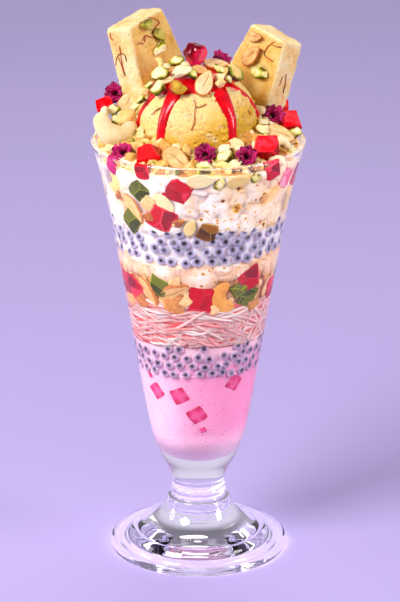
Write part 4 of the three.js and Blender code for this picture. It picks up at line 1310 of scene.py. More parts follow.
heap_bed = ringed(np.concatenate([heap_side, surface, surface[-1:] * [0.6, 0.6, 0.93]]))
top_look = np.stack([0.7 * coarse + 0.3 * fine, coarse_tint, 0 * coarse_tint], 1)
side_look = np.stack([side_relief, side_tint, 0 * side_tint + 1], 1)
heap_look = np.vstack([side_look, top_look, np.zeros((302, 3))])

heap_grit = soft_finish("heap_grit", 0.42, 0.25, 2)
grits = [(0.1, 210, 138, 40), (0.35, 242, 190, 88), (0.6, 254, 222, 142), (0.78, 250, 238, 212)]
grits.append((0.9, 160, 164, 26))
heap_tone = heap_grit.ramp(heap_grit.mark("look", 1), grits)
soaked = heap_grit.ramp(heap_grit.mark("look", 1),
                        [(0.3, 250, 232, 190), (0.6, 252, 244, 236), (0.9, 240, 200, 110)])
heap_tone = heap_grit.blend(heap_grit.mark("look", 2), heap_tone, soaked)
# painted shade: the low parts of the rubble darken to brown, less at the side where cream has soaked in
recess_shade = heap_grit.times(heap_grit.steps(heap_grit.mark("look", 0), 0.5, 0.1), 0.85)
recess_shade = heap_grit.less(recess_shade, heap_grit.times(heap_grit.mark("look", 2), 0.6))
heap_grit.paint(heap_grit.blend(recess_shade, heap_tone, colour(100, 46, 10)))
heap_grit.bump(heap_grit.grain(0.8, 4), 0.3)
show("nut_heap_bed", mesh_of("nut_heap_bed", heap_bed, {"look": heap_look}), heap_grit, "nut_heap",
     "nut_heap")

# ---- Kulfi ball ----
# A scoop of mango kulfi: churned ice, smooth where the scoop wiped it and pitted where it tore. It is
# painted darker and greener low down and towards the right, and darker in its pits and torn hollows, as
# shade.
BALL_RADIUS = 26.5
BALL_CENTRE = (0, 0, 200)
BALL_FINENESS = 7


def ball_grid():
    """Evenly spread directions over a sphere, and the triangles between them."""
    ball = bmesh.new()
    bmesh.ops.create_icosphere(ball, subdivisions=BALL_FINENESS, radius=1)
    points = np.array([tuple(vert.co) for vert in ball.verts])
    faces = [[vert.index for vert in face.verts] for face in ball.faces]
    ball.free()
    return points, faces


out, ball_faces = ball_grid()
spot = out * BALL_RADIUS
torn = np.clip(0.7 + 1.5 * noise_of(spot, 9, 2.2) + 0.6 * out[:, 0] - 0.55 * out[:, 2], 0, 1)
pits = bumps_of(spot, 1.7, 5)[:, 0]
pit = np.clip(1 - pits / 0.4, 0, 1) * np.clip(noise_of(spot, 4, 9) * 3 + 0.8, 0, 1)
ridges = np.abs(noise_of(spot * [1, 1, 2.2], 3.2, 4)) + 0.6 * np.abs(noise_of(spot, 1.3, 1))
surface = BALL_RADIUS + 0.5 * noise_of(spot, 10, 7) - (0.3 + 0.6 * torn) * pit + 1.1 * torn * (ridges - 0.2)
ball_shape = (out * surface[:, None] + BALL_CENTRE, ball_faces)
look = np.stack([np.clip(pit + torn * (0.34 - ridges), 0, 1), torn, 0 * torn], 1)

mango_kulfi = soft_finish("mango_kulfi", 0.36, 0.3, 3, (1.0, 0.7, 0.25), 0.3)
parts = mango_kulfi.axes()
drift = mango_kulfi.drift(0.03, 12, 3)
# painted shade: the ice darkens towards the bottom and the right, away from the key lamp
tilted = mango_kulfi.less(parts["Z"], mango_kulfi.times(parts["X"], 0.35))
low = mango_kulfi.steps(mango_kulfi.plus(tilted, drift), 0.216, 0.192)
mango_lit_to_shaded = [(0, 255, 222, 144), (0.42, 248, 196, 86), (0.8, 232, 180, 40), (1, 212, 168, 30)]
ice = mango_kulfi.ramp(low, mango_lit_to_shaded)
ice = mango_kulfi.blend(mango_kulfi.times(mango_kulfi.steps(mango_kulfi.grain(5, 3), 0.5, 0.68), 0.5), ice,
                        colour(255, 236, 184))
# painted shade in the pits and in the hollows where it tore
ice = mango_kulfi.blend(mango_kulfi.times(mango_kulfi.mark("look", 0), 0.85), ice, colour(180, 118, 28))
dots = mango_kulfi.times(mango_kulfi.steps(mango_kulfi.cells(2.6), 0.11, 0.05), 0.5)
mango_kulfi.paint(mango_kulfi.blend(dots, ice, colour(150, 96, 24)))
mango_kulfi.bump(mango_kulfi.grain(0.8, 4, 0.6), 0.4)
ball_mesh = mesh_of("mango_kulfi_ball", ball_shape, {"look": look})
show("mango_kulfi_ball", ball_mesh, mango_kulfi, "mango_kulfi", "kulfi_scoop")

# ---- Kulfi slabs ----
# Two slabs of malai kulfi from a tapered mould, pushed in behind the ball with the narrow end up. Sawn
# faces show ice pits, painted darker as shade, and specks of cardamom; nuts are stuck on the broad faces.
# The narrow faces and top end are painted paler as lit and the broad faces darker as shaded.
SLAB_TAPER, SLAB_THICK, SLAB_CORNER = 0.145, 14.2, 1.3
SLABS = {  # middle of the top end, width, length, way the broad face looks, lean
    "kulfi_slab_left": ((-28.6, 23.6, 243.3), 24, 47, 50, -17.5),
    "kulfi_slab_right": ((35.1, 22, 236.6), 20.4, 40, -40.5, 21),
}


def slab_frame(name):
    top, _, _, azimuth, lean = SLABS[name]
    turn = Matrix.Rotation(math.radians(lean), 4, "Y") @ Matrix.Rotation(math.radians(azimuth), 4, "Z")
    return np.array(Matrix.Translation(top) @ turn)


def placed(points, matrix):
    return points @ matrix[:3, :3].T + matrix[:3, 3]


malai_kulfi = soft_finish("malai_kulfi", 0.4, 0.3, 3, (1.0, 0.7, 0.35), 0.3)
shaded_broad_malais = [(0.28, 216, 162, 58), (0.45, 242, 196, 98), (0.62, 252, 216, 132)]
lit_narrow_malais = [(0.28, 236, 184, 100), (0.45, 254, 216, 140), (0.62, 255, 232, 176)]
cloud = malai_kulfi.grain(8, 5, 0.6)
shaded_broad_ice, lit_narrow_ice = malai_kulfi.ramp(cloud, shaded_broad_malais), malai_kulfi.ramp(cloud, lit_narrow_malais)
# painted light and shade: the narrow faces and the top end take the lit colours, the broad faces the shaded
# ones
ice = malai_kulfi.blend(malai_kulfi.mark("look", 2), shaded_broad_ice, lit_narrow_ice)
ice = malai_kulfi.blend(malai_kulfi.times(malai_kulfi.mark("look", 1), 0.6), ice, colour(255, 238, 196))
# painted shade in the ice pits
ice = malai_kulfi.blend(malai_kulfi.times(malai_kulfi.mark("look", 0), 0.7), ice, colour(180, 118, 46))
specks = malai_kulfi.times(malai_kulfi.steps(malai_kulfi.cells(3.4), 0.12, 0.05), 0.8)
malai_kulfi.paint(malai_kulfi.blend(specks, ice, colour(140, 74, 26)))
malai_kulfi.bump(malai_kulfi.grain(0.9, 5, 0.65), 0.5)
for name, (top, width, length, _, _) in SLABS.items():
    cells = (int(width / 0.6), int(SLAB_THICK / 0.6), int(length / 0.7))
    points, faces, place = block((width, SLAB_THICK, length), SLAB_CORNER, cells)
    down = length / 2 - points[:, 2]
    points[:, 0] *= 1 + 2 * SLAB_TAPER * down / width
    points[:, 2] = -down
    shift = 2.2 * (1 + list(SLABS).index(name))
    holes = bumps_of(points, 2.8, shift)[:, 0]
    hole = np.clip(1 - holes / 0.3, 0, 1) * (noise_of(points, 6, 3) > -0.05)
    edge = np.clip((np.sort(np.abs(place), axis=1)[:, 1] - 0.9) / 0.1, 0, 1)
    points = roughened(points, 12, 0.3, shift) + (0.25 * noise_of(points, 1.8, shift)
                                                  + 0.2 * noise_of(points, 0.9, 3))[:, None]
    inward = -points * [1, 1, 0] / np.linalg.norm(points * [1, 1, 0.0] + 1e-6, axis=1, keepdims=True)
    points += 0.55 * hole[:, None] * inward
    shape = outward(placed(points, slab_frame(name)), faces)
    # marks the narrow faces and the top end, which are painted as lit
    narrow = np.clip((np.maximum(np.abs(place[:, 0]), place[:, 2]) - 0.94) / 0.05, 0, 1)
    look = np.stack([hole, edge, narrow], 1)
    show("malai_" + name, mesh_of("malai_" + name, shape, {"look": look}), malai_kulfi, "malai_kulfi", name)


# ---- Cashews, almonds, pistachios and jelly of the ring ----
# Whole and broken nuts and lumps of red jelly, laid by hand round the ball, on its crown and on the slabs.
# Each lies as its solid in the model does: its place, which way its face looks, how far it leans, its spin.
def laid(angle, radius, z, azimuth, tilt, spin):
    """How a topping lies: its place round the glass, then the turns of its face."""
    angle = math.radians(angle)
    place = Matrix.Translation((radius * math.sin(angle), -radius * math.cos(angle), z))
    turn = Matrix.Rotation(math.radians(azimuth), 4, "Z") @ Matrix.Rotation(math.radians(tilt), 4, "X")
    return np.array(place @ turn @ Matrix.Rotation(math.radians(spin), 4, "Z"))


def stuck_on(slab, across, down, sunk, spin):
    """How a nut lies on the broad face of a slab."""
    place = Matrix.Translation((across, -SLAB_THICK / 2 - sunk - 0.3, down))
    turn = Matrix.Rotation(math.pi / 2, 4, "X") @ Matrix.Rotation(math.radians(spin), 4, "Z")
    return slab_frame(slab) @ np.array(place @ turn)


TOPPINGS = {  # length, then how it is laid or stuck on
    "cashew": {
        "cashew_left_back": (11, -97.5, 43.6, 203.4, -70, 66, 90),
        "cashew_left": (22.5, -78.1, 36.7, 205, 21.4, 68.3, -21),
        "cashew_right_bit": (7.4, 42, 33, 198.8, 10, 40, 30),
        "cashew_right_rim": (9.6, 69, 39.2, 194.8, 28, 66, 168),
        "cashew_right_far": (9.2, 79, 40.4, 193.8, 34, 62, 200),
        "cashew_right_inner": (8.4, 81, 30.4, 200.6, 20, 60, 60),
        "cashew_back_right": (16.5, 163, 38.5, 201.6, 172, 58, 12),
    },
    "almond": {
        "almond_left": (12.4, -110, 33.4, 208.4, -14, 68, 58),
        "almond_front": (14.8, -14.4, 37.6, 196, -6, 62, -32),
        "almond_right": (13.6, 72, 38, 200.2, 20, 50, -32),
        "almond_back": (12.8, -176, 34.6, 205.6, 176, 52, 24),
        "almond_crown": (12.8, 9, 17.6, 225, 4, 58, 66),
        "almond_crown_back": (11.6, 90, 8, 229, 20, 24, -14),
        "almond_slab_right_top": (8, "kulfi_slab_right", -4.8, -4.2, 1.92, 20),
        "almond_slab_right": (11.4, "kulfi_slab_right", -2.4, -12.2, 2.74, 64),
    },
    "pistachio": {
        "pistachio_left_high": (7.4, -102, 39, 205.4, -20, 46, 10),
        "pistachio_left_low": (6.6, -97, 36.6, 201.6, 0, 50, -30),
        "pistachio_left_inner": (8.4, -104, 31.6, 202.6, -10, 50, 14),
        "pistachio_front_rim": (8.6, 4, 41, 193.6, 0, 25, 0),
        "pistachio_front_right": (9.6, 17.5, 36.2, 196, 10, 48, 30),
        "pistachio_right_rim": (8, 23, 41, 193.4, 20, 30, 10),
        "pistachio_right_far": (8, 85, 42.4, 198.2, 40, 40, 20),
        "pistachio_right_inner": (7.4, 64, 30.4, 197.8, 20, 50, -30),
        "pistachio_crown_pale": (10, -33, 13, 228, -10, 52, 8),
        "pistachio_crown_high": (7.6, -84, 9.4, 230, -20, 50, 20),
        "pistachio_crown_left": (8.4, -66, 18, 225.6, -30, 46, 22),
        "pistachio_crown_low": (8.4, -52, 21.8, 221.4, -28, 50, 48),
        "pistachio_crown_dark": (9.2, -24, 20.8, 222.6, -14, 44, -8),
        "pistachio_crown_right": (9.6, 66, 17.2, 226.4, 30, 56, 100),
        "pistachio_slab_left_top": (8.2, "kulfi_slab_left", -1.6, -3.4, 1.15, -8),
        "pistachio_slab_left_mid": (7, "kulfi_slab_left", 3.2, -9.8, 0.98, -64),
        "pistachio_slab_left_low": (8.2, "kulfi_slab_left", 0.6, -16, 1.15, 26),
        "pistachio_slab_right": (9.6, "kulfi_slab_right", 4.6, -17.2, 1.34, 14),
    },
    "red": {
        "jelly_left_rim": (7.8, -105, 42.6, 206.4, -30, 30, 40),
        "jelly_front_left": (11.4, -35.2, 36.8, 194.4, -18, 30, 14),
        "jelly_front_right": (11.2, 50, 37.2, 196.6, 30, 34, -10),
        "jelly_right_rim": (9, 97, 41, 200.4, 14, 34, -6),
        "jelly_right_back": (8, 120, 41.2, 203, 60, 30, 30),
        "jelly_back": (9.8, -162, 37.6, 200.4, -172, 36, 20),
    },
}
glazed_skin = (colour(70, 10, 4), colour(150, 40, 6), colour(196, 84, 10))
glazed_flesh = (colour(190, 130, 16), colour(214, 170, 40))
glazed_pistachio = pistachio_finish("glazed_pistachio", glazed_flesh, glazed_skin, colour(90, 14, 8))
white_flesh = (colour(232, 214, 140), colour(254, 242, 198))
white_pistachio = pistachio_finish("white_pistachio", white_flesh, green_skin, papery_skin)
purple_skin = (colour(60, 2, 30), colour(74, 70, 6), colour(122, 132, 14))
purple_flesh = (colour(150, 152, 24), colour(234, 200, 120))
purple_pistachio = pistachio_finish("purple_pistachio", purple_flesh, purple_skin, colour(96, 0, 52))
OWN_FINISH = {"pistachio_crown_dark": glazed_pistachio, "pistachio_crown_pale": white_pistachio}
OWN_FINISH["pistachio_crown_right"] = purple_pistachio
olive_skin = (colour(52, 58, 4), colour(96, 104, 12), colour(146, 148, 26))
olive_pistachio = pistachio_finish("olive_pistachio", (colour(168, 164, 44), colour(214, 204, 92)),
                                   olive_skin, papery_skin)
for node in ("pistachio_slab_left_top", "pistachio_slab_left_mid"):
    OWN_FINISH[node] = olive_pistachio
cashew_flesh = [(0.15, 236, 184, 104), (0.4, 252, 220, 156), (0.75, 255, 240, 202)]
cashew_nut = nut_finish("cashew_nut", cashew_flesh, 5)
red_jelly = jelly_finish("red_jelly", colour(160, 0, 12), colour(244, 0, 10), colour(255, 60, 84),
                         (1.0, 0.08, 0.08))
FRESH_FINISH = {"cashew": cashew_nut, "red": red_jelly}
topping_rng = np.random.default_rng(3)
taken = []
for kind, nodes in TOPPINGS.items():
    shape, finish, slot = UPPER_KINDS[kind]
    shape = jelly if kind == "red" else shape
    for node, (length, *how) in nodes.items():
        lie = stuck_on(*how) if how[0] in SLABS else laid(*how)
        points, faces, own, look = shape(length, topping_rng)
        mesh = gathered(node + "_piece", [(placed(points, lie), faces, own, look)])
        show(node + "_piece", mesh, OWN_FINISH.get(node, FRESH_FINISH.get(kind, finish)), slot, node)
        taken.append((*lie[:3, 3], length * (1.5 if length > 16 else 1)))

# ---- Rosebuds ----
# Small dried rosebuds, magenta to crimson: two rings of thin petals that flare from a short base, with torn
# and ruffled pale edges round a dark hollow.
ROSEBUDS = {  # length, then how it is laid
    "rosebud_left_back": (8.4, -116, 41, 210, -30, 62, 0),
    "rosebud_front_left": (8.4, -54.6, 39.8, 194.8, -25, 44, 0),
    "rosebud_front": (8.4, 5, 34, 197, 3, 55, 0),
    "rosebud_front_right": (8.8, 31, 40, 196, 14, 52, 0),
    "rosebud_right": (9, 100, 33, 203.4, 16, 60, 0),
    "rosebud_back": (8.2, 178, 41, 200, 180, 44, 0),
    "rosebud_crown": (8, 124, 11.4, 228.6, 60, 30, 0),
}
OUTER_PETALS, INNER_PETALS = 5, 4


def thick_sheet(grid, thickness):
    """A grid of points given a thickness and closed all round."""
    normal = np.cross(np.gradient(grid, axis=0), np.gradient(grid, axis=1))
    normal *= thickness / 2 / np.maximum(np.linalg.norm(normal, axis=-1, keepdims=True), 1e-9)
    return ringed(np.concatenate([grid + normal, (grid - normal)[:, ::-1]], axis=1))


def petal(radius, height, turn, spread, rng):
    """One flared, crumpled petal with a torn edge. Its look: the height up the petal and its tint."""
    u, v = np.linspace(-1, 1, 19)[None], np.linspace(0, 1, 11)[:, None]
    angle = turn + spread * u * (0.4 + 0.6 * v**0.5)
    waves, phase = rng.uniform(6, 9), rng.uniform(0, 6)
    fold = np.sin(waves * u + phase)
    r = radius * (0.2 + 0.46 * v + 0.38 * v**3) * (1 + 0.08 * rng.normal()) + 0.11 * radius * fold * v**2
    torn = 0.1 * np.sin(13 * u + phase) + 0.1 * np.sin(29 * u + 2 * phase)
    torn = torn + 0.12 * np.sin(waves * u + phase + 1.2)
    rise = 2.0 + 0.16 * rng.normal()
    z = height * (-1 + rise * v**0.8 - 0.3 * v**4) + height * (torn * v**4 - 0.2 * v**2 * np.abs(u) ** 3)
    sheet = roughened(around(r, angle, z).reshape(-1, 3), 0.5 * radius, 0.13 * radius, rng.uniform(0, 50))
    points, faces = thick_sheet(sheet.reshape(11, 19, 3), 0.05 * radius)
    up = np.append(np.tile(np.broadcast_to(v, (11, 19)), (1, 2)).ravel(), [0, 1])
    return points, faces, points / radius, np.stack([up, 0 * up, 0 * up + rng.random()], 1)


def rosebud(length, rng):
    radius, height = 0.5 * length, 0.36 * length
    step = 2 * math.pi / OUTER_PETALS
    petals = [petal(radius, height, step * i + rng.normal(0, 0.12), 0.92, rng) for i in range(OUTER_PETALS)]
    step = 2 * math.pi / INNER_PETALS
    petals += [petal(0.6 * radius, 0.72 * height, step * i + 0.4, 1.0, rng) for i in range(INNER_PETALS)]
    return petals


rose_petal = soft_finish("rose_petal", 0.5, 0.2, 1, (1.0, 0.1, 0.3), 0.25)
uneven = rose_petal.drift(0.5, 1.8, 3)
petal_up = rose_petal.plus(rose_petal.mark("look", 0), uneven)
petals = [(0.15, 26, 0, 10), (0.45, 88, 0, 36), (0.72, 178, 2, 86), (0.95, 232, 34, 130)]
petal_colour = rose_petal.ramp(petal_up, petals)
crimson = rose_petal.times(rose_petal.steps(rose_petal.mark("look", 2), 0.4, 0.8), 0.6)
petal_colour = rose_petal.blend(crimson, petal_colour, colour(112, 0, 36))
frayed = rose_petal.steps(rose_petal.plus(rose_petal.mark("look", 0), uneven), 1.02, 1.1)
rose_petal.paint(rose_petal.blend(rose_petal.times(frayed, 0.8), petal_colour, colour(246, 184, 120)))
rose_petal.bump(rose_petal.grain(0.6, 3), 0.2)
for node, (length, *how) in ROSEBUDS.items():
    lie = laid(*how)
    bud = [(placed(points, lie), faces, own, look)
           for points, faces, own, look in rosebud(length, topping_rng)]
    show(node + "_piece", gathered(node + "_piece", bud), rose_petal, "rosebud", node)
    taken.append((*lie[:3, 3], length))

# ---- Glace cherry ----
# Half a candied cherry at the very top: wrinkled, pressed flat on some sides, painted dark crimson above as
# shade and clear bright pink towards the front lower right as light coming through it.
CHERRY_RADIUS = 5.4
CHERRY_CENTRE = (-2.2 * math.sin(math.radians(40)), -2.2 * math.cos(math.radians(40)), 233.4)
polar = np.radians(np.linspace(4, 176, 44))[:, None]
points, faces = ringed(around(np.sin(polar), turns(64)[None], np.cos(polar)))
wrinkle = np.abs(noise_of(points * CHERRY_RADIUS * [1, 1, 0.5], 3, 6))
points *= (CHERRY_RADIUS * (1.04 + 0.14 * noise_of(points, 0.8, 3)) - 0.7 * wrinkle)[:, None]
points, _ = chopped(points, 7, np.random.default_rng(12), (0.68, 0.86))
points = roughened(points, 3, 0.12, 4)
candied = {"Roughness": 0.12, "Subsurface Weight": 0.5, "Subsurface Scale": 0.003, "Coat Weight": 0.6}
candied_cherry = Finish("candied_cherry",
                        {**candied, "Specular IOR Level": 0.3, "Specular Tint": colour(240, 20, 60),
                         "Subsurface Radius": (1.0, 0.06, 0.12)})
own = candied_cherry.attribute("own")
# painted light and shade: dark crimson above and behind, glowing pink towards the lower right front
lit_side = candied_cherry.add("ShaderNodeVectorMath", {0: own, 1: (0.34, -0.1, -0.42)},
                           operation="DOT_PRODUCT").outputs["Value"]
lit_side = candied_cherry.plus(lit_side, candied_cherry.grain(4, 2))
cherry_shade_to_light = [(0.3, 112, 0, 22), (0.55, 190, 2, 36), (0.8, 248, 40, 110)]
candied_cherry.paint(candied_cherry.ramp(lit_side, cherry_shade_to_light))
cherry_mesh = mesh_of("candied_cherry", (points + CHERRY_CENTRE, faces), {"own": points / CHERRY_RADIUS})
show("candied_cherry", cherry_mesh, candied_cherry, "glace_cherry", "glace_cherry")
taken.append((*CHERRY_CENTRE, 2 * CHERRY_RADIUS))

# ---- Rose syrup ----
# Red syrup poured over the crown: a thin cap under the nuts, and runs down the ball that narrow and end in
# a bead where they meet the ring.
SYRUP_THICK = 1.1
SYRUP_RUNS = [  # polar angle from the top, angle from the front and width at places down each run
    [(34, -33, 10), (43, -34.1, 9.2), (51, -35.3, 7.4), (66, -37.8, 5.3), (80, -38.2, 4.8),
     (95, -39.1, 4.8), (101, -39.5, 5)],
    [(30, 30, 10), (42, 31.1, 9), (50, 32.5, 8), (61, 34.6, 6), (70, 35.3, 5.4), (84, 34.3, 4.6),
     (100, 35.9, 4.8)],
    [(40, -70, 8), (50, -71, 6), (60, -73, 4.4), (75, -82, 3.6), (88, -86, 3.6)],
    [(36, 58, 7), (47, 68.4, 4.6), (57, 75.8, 3.4), (67, 82, 2.8), (78, 86, 2.6)],
    [(40, 150, 8), (55, 146, 5.4), (75, 150, 4.4), (88, 147, 4.4)],
    [(40, -140, 8), (60, -145, 5), (84, -143, 4.6)],
]


def syrup_depth(out):
    """Thickness of the syrup over each direction from the middle of the ball."""
    polar = np.degrees(np.arccos(np.clip(out[:, 2], -1, 1)))
    angle = np.degrees(np.arctan2(out[:, 0], -out[:, 1]))
    waves = 1.6 * np.sin(np.radians(5 * angle)) + np.sin(np.radians(11 * angle))
    edge = 42 + 5 * np.cos(np.radians(angle + 70)) + waves
    depth = SYRUP_THICK * np.sqrt(np.clip((edge - polar) / 9, 0, 1))
    for run in SYRUP_RUNS:
        down, middle, width = np.array(run).T
        centre = np.interp(polar, down, middle)
        half = np.interp(polar, down, width) / 2
        turn = (angle - centre + 180) % 360 - 180
        away = BALL_RADIUS * np.radians(turn) * np.sin(np.radians(polar)) / half
        past = BALL_RADIUS * np.radians(np.maximum(polar - down[-1], 0)) / half
        before = np.clip((polar - down[0]) / 6 + 1, 0, 1)
        thick = SYRUP_THICK * np.sqrt(np.clip(1 - away**2 - past**2, 0, 1)) * before
        bead = 0.5 * np.exp(-((BALL_RADIUS * np.radians(polar - down[-1] + 3) / half) ** 2)) * (thick > 0)
        depth = np.maximum(depth, thick + bead)
    return depth


def shell(outer, inner, faces):
    """Closes two matching sheets into one body, with a wall along every free edge."""
    used, index = np.unique(np.array(faces), return_inverse=True)
    faces = index.reshape(len(faces), -1).tolist()
    count = len(used)
    edges = {(a, b) for face in faces for a, b in zip(face, face[1:] + face[:1])}
    walls = [[b, a, a + count, b + count] for a, b in edges if (b, a) not in edges]
    under = [[i + count for i in face[::-1]] for face in faces]
    return np.vstack([outer[used], inner[used]]), faces + under + sorted(walls)


depth = syrup_depth(out)
syrup_faces = [face for face in ball_faces if max(depth[i] for i in face) > 0]
over = out * (BALL_RADIUS + 0.2 * (surface - BALL_RADIUS) + depth - 0.2)[:, None] + BALL_CENTRE
under = out * (BALL_RADIUS - 1.2) + BALL_CENTRE
syrupy = {"Roughness": 0.3, "Subsurface Weight": 0.4, "Subsurface Scale": 0.002, "Coat Weight": 0.5}
rose_syrup = Finish("rose_syrup",
                    {**syrupy, "Specular IOR Level": 0.8, "Specular Tint": colour(255, 90, 120),
                     "Subsurface Radius": (1.0, 0.04, 0.06), "Coat Roughness": 0.03})
rose_syrup.paint(rose_syrup.ramp(rose_syrup.grain(6, 2), [(0.35, 196, 0, 14), (0.65, 244, 0, 20)]))
syrup_mesh = mesh_of("rose_syrup", outward(*shell(over, under, syrup_faces)))
show("rose_syrup", syrup_mesh, rose_syrup, "red_jelly", "kulfi_scoop")

# ---- Saffron ----
# Dried saffron threads, dark red with an orange end. They were dropped on while the kulfi was soft and have
# stuck to the ball and the slabs.
SAFFRON_THICK = 0.5
BALL_THREADS = [  # angle from the front and polar angle from the top
    [(-5.6, 48.4), (-3.2, 54), (-3.8, 59.3), (-4.4, 70.6), (-6.7, 77.6)],
    [(-3.4, 55.4), (2, 55.5), (8.8, 53.1)],
    [(-54.3, 69.2), (-50, 64), (-44.6, 60.4)],
    [(62, 66), (63, 69), (65, 71)],
    [(150, 62), (158, 68), (163, 66)],
]
SLAB_THREADS = {  # by slab and by face of it, places across and down the face
    "kulfi_slab_left": {
        "narrow": [
            [(1, -11), (1.3, -13.5), (1.5, -16.9), (1.4, -21.3)],
            [(5.6, -16.3), (3.9, -12.9), (1, -11.3), (-1.3, -12), (-1.6, -15)],
            [(0.6, -7.8), (0.9, -10), (1, -11.3)],
            [(2.9, -13), (2.2, -16), (1.4, -20.6)],
            [(4.4, -1.6), (5, -3.2), (4.2, -5)],
        ],
        "broad": [
            [(1.5, -0.9), (4.5, -2.6), (6.9, -5.4), (3.5, -6.5), (0.6, -7.9)],
            [(-6.7, -8.6), (-3.9, -7.3), (-1.9, -8.7), (0.1, -10.1)],
            [(-10.1, -9), (-8.1, -9.1), (-6.8, -10.2)],
            [(-3.9, -7.2), (-4.5, -8.4), (-5.9, -9.7)],
        ],
        "back": [
            [(-3, -9), (1, -12), (2, -16)],
            [(5, -5), (3, -8), (4, -11)],
        ],
    },
    "kulfi_slab_right": {
        "broad": [
            [(5, -1.9), (3.1, -4.9), (2.2, -7.2), (2.8, -9.5), (5.6, -10), (8.1, -10)],
            [(4.3, -3.7), (7.4, -3.3), (9.6, -2.5)],
        ],
        "narrow": [
            [(0.1, -13.9), (1.2, -18), (1.6, -22.6)],
            [(-2.1, -15.3), (-2.3, -17.4), (-3, -19.5)],
        ],
        "back": [
            [(-4, -6), (-1, -9), (-2, -13)],
        ],
    },
}


def on_ball(angle, polar, lift):
    angle, polar = math.radians(angle), math.radians(polar)
    return around(math.sin(polar), angle, math.cos(polar)) * (BALL_RADIUS + lift) + BALL_CENTRE


def on_slab(slab, face, across, down):
    """A place on a face of a slab. The narrow face is the outer one of the two."""
    outside = 1 if SLABS[slab][0][0] > 0 else -1
    if face == "narrow":
        half = SLABS[slab][1] / 2 - SLAB_TAPER * down
        local = (outside * (half + 0.25), across, down)
    else:
        local = (across, (SLAB_THICK / 2 + 0.25) * (-1 if face == "broad" else 1), down)
    return placed(np.array(local), slab_frame(slab))


def thread_of(corners):
    """A thread through the corners, thin at one end and thicker at the other."""
    path = smooth_path(corners, 5)
    return path, SAFFRON_THICK * (0.75 + 0.5 * np.linspace(0, 1, len(path)) ** 2)


threads = [thread_of([on_ball(a, p, 0.45) for a, p in corners]) for corners in BALL_THREADS]
for slab, faces in SLAB_THREADS.items():
    for face, lines in faces.items():
        threads += [thread_of([on_slab(slab, face, *at) for at in corners]) for corners in lines]
saffron = Finish("saffron", {"Roughness": 0.5})
saffron.paint(saffron.ramp(saffron.grain(3, 2), [(0.35, 110, 10, 4), (0.65, 206, 74, 12)]))
paths, sizes = zip(*threads)
saffron_mesh = strands("saffron_threads", paths, sizes, 5, saffron)
show("saffron_threads", saffron_mesh, saffron, "rosebud", "kulfi_slab_left", "kulfi_slab_right")

# ---- Chopped nuts on top ----
# Sprinkled last: broken cashew, almond and pistachio between the toppings of the ring, up the left side of
# the crown and along its front, with fine crumbs in the gaps.
BITS = [  # kind, length, angle, radius, height, way it looks, lean, spin
    ("pistachio", 8.4, -79, 17.4, 225.4, -30, 50, 24),
    ("chunk", 3.4, -84, 13.8, 227.6, 0, 30, 0),
    ("pistachio", 6, -9, 12.9, 226.9, 20, 50, -60),
    ("almond", 8.4, -57, 17.4, 224.2, -20, 44, 10),
    ("pistachio", 5, -78, 22, 220, -50, 50, 50),
    ("chunk", 4.8, -78, 24.2, 217.4, -40, 40, 0),
    ("pistachio", 5.2, -74, 26, 214.2, -50, 50, 60),
    ("pale", 5, -50, 7, 228.8, 0, 20, 10),
    ("almond", 7.4, 4, 9.6, 228.7, 10, 46, -14),
    ("chunk", 4.8, 38, 15, 225.9, 0, 40, 0),
    ("chunk", 4.6, 32, 18, 224.1, 0, 50, 40),
    ("chunk", 4.4, 58, 13.5, 226.9, 0, 40, 20),
    ("pistachio", 4.6, 50, 17.2, 224.8, 30, 50, -70),
    ("pistachio", 6.4, 50, 12.4, 228, 40, 60, -50),
    ("cashew", 7.5, -99, 18.5, 227.4, -10, 80, 90),
    ("chunk", 8, -94, 31.6, 203.4, -10, 40, 14),
    ("pale", 3.2, -102, 29.8, 206, 0, 40, 0),
    ("pistachio", 5.4, -93, 27.4, 209, -30, 60, 60),
    ("chunk", 6.2, -48, 36, 198.4, -20, 50, 20),
    ("chunk", 5, -43.5, 42.3, 195, 0, 30, 0),
    ("chunk", 4.4, -64, 42.6, 195.2, -20, 30, 0),
    ("chunk", 3, -76, 43, 195.2, 0, 0, 0),
    ("pistachio", 5, 79, 29, 203.4, 20, 50, 0),
    ("chunk", 5.6, 65, 30.6, 201.8, 10, 50, 0),
    ("pistachio", 5.2, 59, 34, 200, 10, 40, 70),
    ("chunk", 5.4, 52, 33, 200, 10, 40, 0),
    ("pale", 4.6, 97, 27.4, 206.6, 0, 50, 0),
    ("chunk", 4, -19, 31, 198.8, 0, 40, 0),
    ("chunk", 5.4, -9, 31.2, 198.4, 0, 60, 80),
    ("pale", 6, 20, 33, 198.4, 0, 50, 10),
    ("pale", 4.4, 31, 34.6, 198.2, 0, 50, 0),
]
RING_BITS = {"chunk": 62, "cashew": 12, "pistachio": 16, "pale": 4}
CRUMBS = {"nut": 330, "green": 80}
CRUMB_LENGTHS = (1.3, 3.8)


